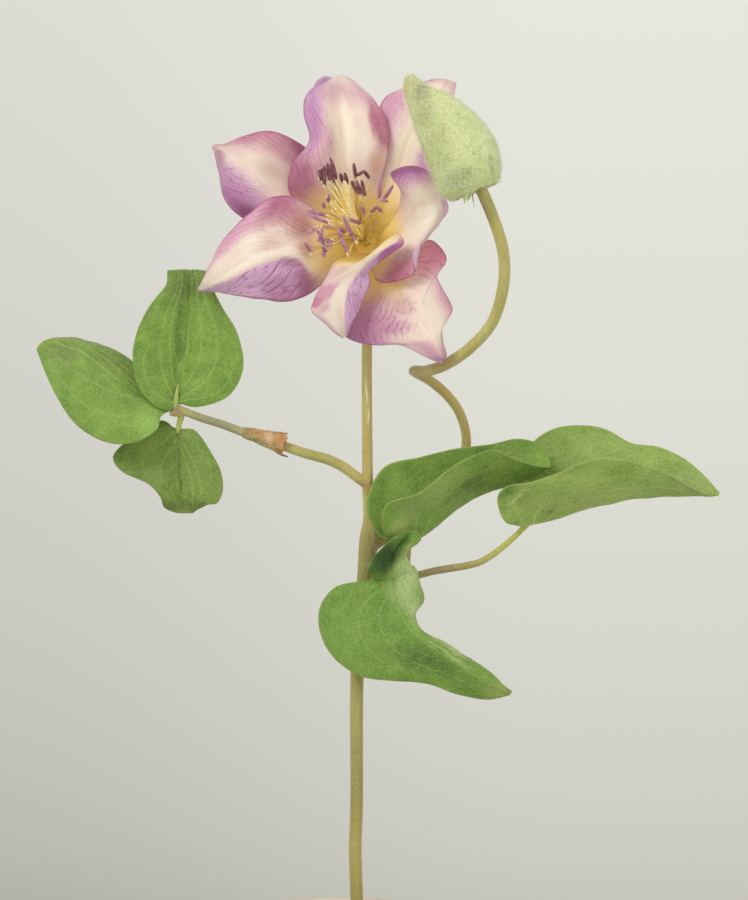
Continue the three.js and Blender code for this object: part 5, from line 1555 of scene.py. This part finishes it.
# Heads by bunch: depth, colour, and each head's two ends from the middle of the flower, x and z
HEADS = (
    (-19, 0, ((-12.8, 29, -10.5, 21.1), (-13.7, 27.1, -13, 20.5), (-15.4, 25.3, -16.3, 21.7),
              (-14.8, 26.2, -14.7, 19), (-16.6, 24.7, -15.5, 20.5), (-11.6, 24.7, -11.4, 19.7),
              (-13.2, 26.2, -12.2, 20.8), (-12.5, 27.4, -11.6, 21.8))),
    (-17, 0, ((-9.2, 23.6, -8.3, 20.3), (-7.7, 23.8, -6.7, 19.9))),
    (-16, 0, ((-4.5, 27.3, -3.7, 22.1), (-3.7, 23.1, -0.6, 24.7), (-0.8, 24.6, 1.1, 21.9))),
    (-18, 0, ((-5.3, 20.5, -2.4, 16), (-3.5, 20.9, -1.9, 15.6), (-1.7, 21.1, -0.5, 15.1),
              (-4.4, 18.8, -5.1, 20.9))),
    (-20, 1, ((-13.1, 15.8, -13.5, 12.8), (-15.2, 13, -14.8, 11.1))),
    (-23, 1, ((-21.6, 9.4, -13, 5.5), (-20.6, 10, -13.9, 8.3))),
    (-21, 1, ((-8.3, 8.3, -3.6, -0.9), (-6.6, 7.2, -3, 5.9), (-3, 7.2, -2.4, 5.1))),
    (-14, 1, ((-5.8, 12.7, -4.5, 11.1), (-1.7, 12, -0.2, 9.4), (1.5, 9.9, 3.7, 12.1),
              (3.5, 12.1, 5.7, 10.4))),
    (-14, 1, ((4.9, 21.1, 4.5, 14.9), (9.6, 19.6, 5.6, 14.2), (5.2, 14.8, 7.8, 13.7))),
    (-23, 1, ((-21.6, 1.3, -17.3, 4.1), (-15.6, 4.1, -16.9, -1.1), (-14.2, 3.5, -12.4, 4.6),
              (-21.6, -1.5, -19.4, -4.9))),
    (-22, 1, ((-16.4, 1.6, -14.9, -2.4), (-15.3, 0.1, -11.7, -1.3), (-14.2, -3.8, -12.1, -0.3),
              (-15.6, -2.8, -13.9, -4.5), (-14.8, -3.5, -14.8, -6.6), (-17.4, 2.9, -15.6, 1.1))),
    (-22, 1, ((-10.3, 4.1, -6.6, -5.1), (-9.2, 4.1, -7.3, 2))),
)


def head_colour(dark, pale):
    def colour(tree):
        around = map_part(tree, "X")
        seam = math_node(tree, "ABSOLUTE", math_node(tree, "COSINE", times(tree, around, math.tau)))
        split = ramp(tree, seam, 0.75, 1.0)
        body = toned(tree, dark, pale, scale=600, low=0.35, high=0.65)
        return layer(tree, body, split, 0.5, pale)
    return colour


def head_grain(tree):
    return mottle(tree, scale=2600, low=0.2, high=0.8, detail=3.0)


def filament_colour(tree):
    along = map_part(tree, "Y")
    return blend(tree, along, tint(232, 202, 112), tint(240, 224, 180))


def style_colour(tree):
    along = map_part(tree, "Y")
    green = toned(tree, (236, 212, 114), (248, 234, 160), scale=700, low=0.3, high=0.7)
    return blend(tree, along, green, tint(244, 232, 196))


# A painted glow that lightens the styles in the shaded cup
def style_glow(_tree):
    return tint(220, 194, 120)


fan = np.array(STAMEN_FAN, float)
facing = fan / np.linalg.norm(fan)
centre = np.array(FLOWER_CENTRE, float)
seat = facing * RECEPTACLE["forward"]
draw = np.random.default_rng(STYLES["seed"])
shape = bmesh.new()
dome = Vector((0, 0, 1)).rotation_difference(Vector(facing)).to_matrix().to_4x4()
bmesh.ops.create_uvsphere(
    shape, u_segments=24, v_segments=14, radius=RECEPTACLE["radius"] * MM, calc_uvs=True,
    matrix=Matrix.Translation(Vector(centre + seat) * MM) @ dome
    @ Matrix.Diagonal((1, 1, RECEPTACLE["depth"] / RECEPTACLE["radius"], 1)))
for face in shape.faces:
    face.smooth = True
    face.material_index = 2


def flattened(turn, along):
    """A stamen head's outline: flat, grooved on both faces, and narrowed at its two ends."""
    oval = np.hypot(np.cos(turn), np.sin(turn) * HEAD["depth"] / HEAD["width"])
    groove = 1 - 0.25 * np.cos(turn * 2 + math.pi).clip(0) ** 2
    return oval * groove * max(math.sin(math.pi * (0.06 + 0.9 * along)), 0.1) ** 0.45


for depth, look, ends in HEADS:
    for x1, z1, x2, z2 in ends:
        outer, inner = (x1, z1), (x2, z2)
        if math.hypot(*outer) < math.hypot(*inner):
            outer, inner = inner, outer
        tip = np.array((outer[0], depth - HEAD["tip_forward"], outer[1]))
        foot = np.array((inner[0], depth + HEAD["foot_back"], inner[1]))
        lie = (tip - foot) / np.linalg.norm(tip - foot)
        bow = np.cross(lie, facing) * HEAD["bow"] * draw.uniform(-1, 1)
        root = seat + (foot - seat) * 0.08
        middle = (root + foot) / 2 + facing * FILAMENT["bend"] * draw.uniform(0.4, 1.0)
        thin = FILAMENT["radius"]
        line = [[*(centre + spot), thin] for spot in (root, middle, foot - lie * 0.8, foot + lie * 0.5)]
        lay_grid(shape, tube(line, FILAMENT["sides"], FILAMENT["steps"]), closed=True, paint=2)
        wide = HEAD["width"]
        line = [[*(centre + foot + (tip - foot) * t + bow * 4 * t * (1 - t)), wide]
                for t in (0, 0.33, 0.67, 1)]
        lay_grid(shape, tube(line, HEAD["sides"], HEAD["steps"], flattened), closed=True, paint=look)
for index in range(BARE_THREADS["count"]):
    way = unit(facing + draw.normal(0, 1, 3) * BARE_THREADS["spread"])
    reach = draw.uniform(*BARE_THREADS["reach"])
    sag = draw.normal(0, 0.5, 3)
    thin = BARE_THREADS["radius"]
    line = [[*(centre + seat), thin * 1.3], [*(centre + seat + way * reach * 0.5 + sag), thin],
            [*(centre + seat + way * reach), thin * 0.5]]
    lay_grid(shape, tube(line, 5, 8), closed=True, paint=2)
for index in range(STYLES["count"]):
    side = STYLES["aims"][index % len(STYLES["aims"])]
    aim = np.array((side, STYLES["forward"], draw.uniform(STYLES["low"], STYLES["high"])))
    aim = aim + draw.normal(0, 1, 3) * STYLES["spread"]
    middle = (seat + aim) / 2 + draw.normal(0, 0.8, 3)
    thick = STYLES["radius"]
    line = [[*(centre + seat + aim * 0.05), thick], [*(centre + middle), thick * 1.2],
            [*(centre + aim), thick * 0.9],
            [*(centre + aim * 1.08 + draw.normal(0, 0.6, 3)), thick * 0.3]]
    lay_grid(shape, tube(line, FILAMENT["sides"], FILAMENT["steps"]), closed=True, paint=3)
heads = [finish(name + " stamen heads", head_colour(dark, pale), 0.6, head_grain, depth=0.0001)
         for name, dark, pale in (("maroon", (104, 50, 62), (156, 98, 112)),
                                  ("mauve", (148, 90, 120), (200, 148, 174)))]
soft = {"Subsurface_Weight": 0.1, "Subsurface_Scale": 0.001}
threads = finish("stamen threads", filament_colour, 0.45, **soft)
styles = finish("styles", style_colour, 0.6, glow=style_glow, **soft)
stamens = show("stamen_tuft", meshed("stamen_tuft", shape, *heads, threads, styles))
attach(stamens, "root")
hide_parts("stamens")

# Bud: one closed, plump bud that hangs over its own looping stalk. Its skin is thick and pale green
# under a coat of fine white down, tan at its drawn-out tip, and its lower hem is torn and folded in.

BUD_DEPTH = -43
BUD_LEAN = {"tip": 26, "hem": 22}
BUD_RINGS = (
    (24.4, 409, 1.6, 1.5), (25.1, 406.6, 3, 2.8), (27.5, 403.2, 4.7, 4.4), (31.6, 399, 7.5, 6.9),
    (35.5, 394, 9.7, 8.6), (38.8, 389.3, 11.1, 9.6), (41.2, 384.7, 12, 10.1),
    (43.4, 380.5, 12.3, 10.2), (45, 375.2, 12, 9.8), (46.1, 371.5, 11, 8.8), (47.3, 369, 9.2, 7.2),
)
BUD_PATCHES = (
    (24, 406, 7, 8, 0, 0.8, (196, 190, 132)),
    (22.6, 402, 2.4, 8, -20, 0.9, (210, 192, 112)),
    (28.6, 402.6, 4.6, 6.4, -20, 0.9, (150, 146, 110)),
    (30, 396, 6, 8, -20, 0.7, (172, 176, 122)),
    (34, 386, 5, 10, -26, 0.5, (184, 194, 124)),
    (41, 372.4, 9, 6, 20, 0.85, (162, 172, 120)),
    (36, 378, 5, 6, 0, 0.5, (184, 194, 138)),
    (31, 379.4, 1.0, 13, 21, 0.8, (188, 174, 100)),
    (52.9, 377, 1.3, 8, 6, 0.75, (158, 176, 96)),
    (55, 378, 2, 8, 6, 0.5, (196, 206, 156)),
    (44, 390, 9, 10, 20, 0.5, (220, 226, 164)),
    (35.8, 392, 1.6, 22, -24, 0.4, (214, 208, 130)),
    (43.8, 367.8, 5, 1.6, 22, 0.7, (208, 214, 158)),
    (46.6, 381, 0.5, 0.4, 0, 0.95, (104, 104, 44)),
)
SHREDS = (
    ((42.6, -47, 371.5), (43.4, -48, 367.5), (43.6, -48.5, 364.2), 1.5),
    ((45.4, -46.5, 371), (45.2, -47.5, 367.5), (44.6, -48, 365), 1.6),
    ((44, -49, 370.5), (44.4, -49.5, 367.3), (44, -50, 365.8), 1.2),
    ((46.2, -46, 370), (46.4, -46.5, 366.5), (47, -47, 363), 0.5),
)
# The hem's turn inwards: each ring's size against the hem's own, and its rise in mm
HEM_RINGS = ((0.93, -0.35), (0.84, 0), (0.76, 0.8), (0.6, 1.4), (0.3, 1.6))
# How torn the rows just before and after the hem are
TORN_ROWS = (0.2, 0.6, 1, 1, 1, 0.6)
BUD = {"rows": 64, "columns": 88, "lobe_count": 4, "lobe_depth": 0.022, "tear": 0.5, "tear_scale": 0.5,
       "lump": 0.25, "lump_scale": 0.2}
BUD_DOWN = {"count": 26000, "length": 0.85, "radius": 0.026, "seed": 13}


def bud_colour(tree):
    cloud = toned(tree, (202, 213, 134), (222, 229, 164), scale=110, low=0.35, high=0.65)
    body = patched(tree, cloud, front_place(tree, wander=0.8), BUD_PATCHES)
    dusty = flecked(tree, body, 0.3, (150, 158, 104), scale=640, low=0.5, high=0.7, detail=3.0)
    return flecked(tree, dusty, 0.4, (234, 238, 212), scale=1000, low=0.44, high=0.62, detail=3.0)


def bud_grain(tree):
    felt = mottle(tree, scale=1500, low=0.25, high=0.75, detail=3.0)
    return math_node(tree, "ADD", felt, mottle(tree, scale=300, low=0.2, high=0.8))


rings = spline_weights(len(BUD_RINGS), BUD["rows"]) @ np.array(BUD_RINGS, float)
turn = np.linspace(0, math.tau, BUD["columns"] + 1)
rows = []
for index, (x, z, half_width, half_depth) in enumerate(rings):
    share = index / BUD["rows"]
    lean = math.radians(BUD_LEAN["tip"] + (BUD_LEAN["hem"] - BUD_LEAN["tip"]) * share**3)
    wide = np.array((math.cos(lean), 0, math.sin(lean)))
    lobes = 1 + BUD["lobe_depth"] * math.sin(math.pi * share) * np.cos(BUD["lobe_count"] * turn + 0.6)
    middle = np.array((x, BUD_DEPTH, z))
    rows.append(middle + wide * (np.cos(turn) * half_width * lobes)[:, None]
                + np.array((0, -1.0, 0)) * (np.sin(turn) * half_depth * lobes)[:, None])
hem = rows[-1]
middle = hem.mean(axis=0)
up = np.array((-math.sin(lean), 0, math.cos(lean)))
for inward, rise in HEM_RINGS:
    rows.append(middle + (hem - middle) * inward + up * rise)
points = np.array(rows)
torn = noise_grid(points, BUD["tear_scale"], 31) * BUD["tear"]
ragged = np.zeros(points.shape[:2])
ragged[BUD["rows"] - 3:BUD["rows"] + 3] = np.array(TORN_ROWS)[:, None]
points = points + up * (torn * ragged)[..., None]
lumps = noise_grid(points, BUD["lump_scale"], 33) * BUD["lump"]
points = points + unit(points - points.mean(axis=1, keepdims=True)) * lumps[..., None]
shape = bmesh.new()
lay_grid(shape, points, closed=True)
bmesh.ops.recalc_face_normals(shape, faces=shape.faces)
for top, middle, bottom, width in SHREDS:
    line = [[*top, width * 0.5], [*middle, width * 0.5], [*bottom, width * 0.12]]
    lay_grid(shape, tube(line, 8, 10, lambda turn, _share: np.hypot(np.cos(turn), 0.3 * np.sin(turn))),
             closed=True)
bud_skin = finish("bud skin", bud_colour, 0.7, bud_grain, depth=0.0003,
                  Sheen_Weight=0.4, Sheen_Roughness=0.4)
bud_mesh = meshed("downy_bud", shape, bud_skin)
bud = show("downy_bud", bud_mesh)
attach(bud, "root")
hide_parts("bud")
white_hair = finish("white down", plain_colour(226, 230, 196), 0.6)
down("bud_down", [bud_mesh], "bud", white_hair, **BUD_DOWN)

# Dry sheath: a papery cone of dead skin, tan and orange, round the left stalk. It is thin, open and
# ragged at its wide end, and hangs on by the narrow one.

SHEATH = (
    (-34.6, -4.9, 285.4, 1.75), (-33, -4.8, 285, 2), (-28.5, -4.5, 283.7, 2.6),
    (-24, -4.3, 282.4, 3.3), (-19.8, -4, 281.4, 3.9),
)
SHEATH_WALL = {"rows": 30, "columns": 40, "thickness": 0.25, "ragged": 1.2, "ragged_scale": 0.5,
               "crumple": 0.25, "crumple_scale": 0.35}
SHEATH_PATCHES = (
    (-36, 286, 4.6, 4, 0, 1.0, (172, 174, 108)),
    (-31, 283, 7, 2.2, -24, 0.9, (170, 168, 110)),
    (-31, 286, 3, 2, 0, 0.5, (206, 152, 96)),
    (-25.5, 283.4, 2.2, 3, 20, 0.75, (226, 196, 160)),
    (-27, 280.5, 3, 1.6, -20, 0.6, (196, 186, 130)),
    (-20.6, 284, 1.6, 4, 10, 0.6, (190, 112, 56)),
    (-22.6, 284, 0.7, 4, 10, 0.6, (186, 172, 96)),
)
SHEATH_TAIL = ((-22.6, -7, 278.2, 0.3), (-20.5, -7.2, 277.2, 0.26), (-18.6, -7.2, 276.6, 0.12))


def sheath_colour(tree):
    body = toned(tree, (190, 140, 84), (216, 176, 124), scale=180, low=0.35, high=0.65)
    body = patched(tree, body, front_place(tree, wander=0.8), SHEATH_PATCHES)
    dark = flecked(tree, body, 0.6, (118, 76, 44), scale=900, low=0.56, high=0.66, detail=2.0)
    fibres = streaks(tree, across=30.0, along=2.0, bend=1.0, thin=0.16)
    return layer(tree, dark, fibres, 0.35, (232, 200, 150))


def sheath_grain(tree):
    return streaks(tree, across=34.0, along=2.0, bend=1.0, thin=0.4, gaps=0.2)


points = tube(SHEATH, SHEATH_WALL["columns"], SHEATH_WALL["rows"])
_across, along = grid_shares(points)
way = unit(np.array(SHEATH[-1][:3], float) - np.array(SHEATH[0][:3], float))
ragged = noise_grid(points, SHEATH_WALL["ragged_scale"], 41) * SHEATH_WALL["ragged"] * along**6
points = points + way * ragged[..., None]
crumple = noise_grid(points, SHEATH_WALL["crumple_scale"], 43) * SHEATH_WALL["crumple"]
points = points + facing_of(points) * crumple[..., None]
points[:, -1] = points[:, 0]
shape = bmesh.new()
lay_grid(shape, points)
bmesh.ops.remove_doubles(shape, verts=shape.verts, dist=1e-6)
lay_grid(shape, tube(SHEATH_TAIL, 6, 10), closed=True)
sheath_skin = finish("dry skin", sheath_colour, 0.6, sheath_grain, depth=0.0002,
                     Subsurface_Weight=0.15, Subsurface_Scale=0.001)
sheath = show("papery_sheath", meshed("papery_sheath", shape, sheath_skin, sheath_skin))
thicken(sheath, SHEATH_WALL["thickness"])
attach(sheath, "root")
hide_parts("dry_sheath")
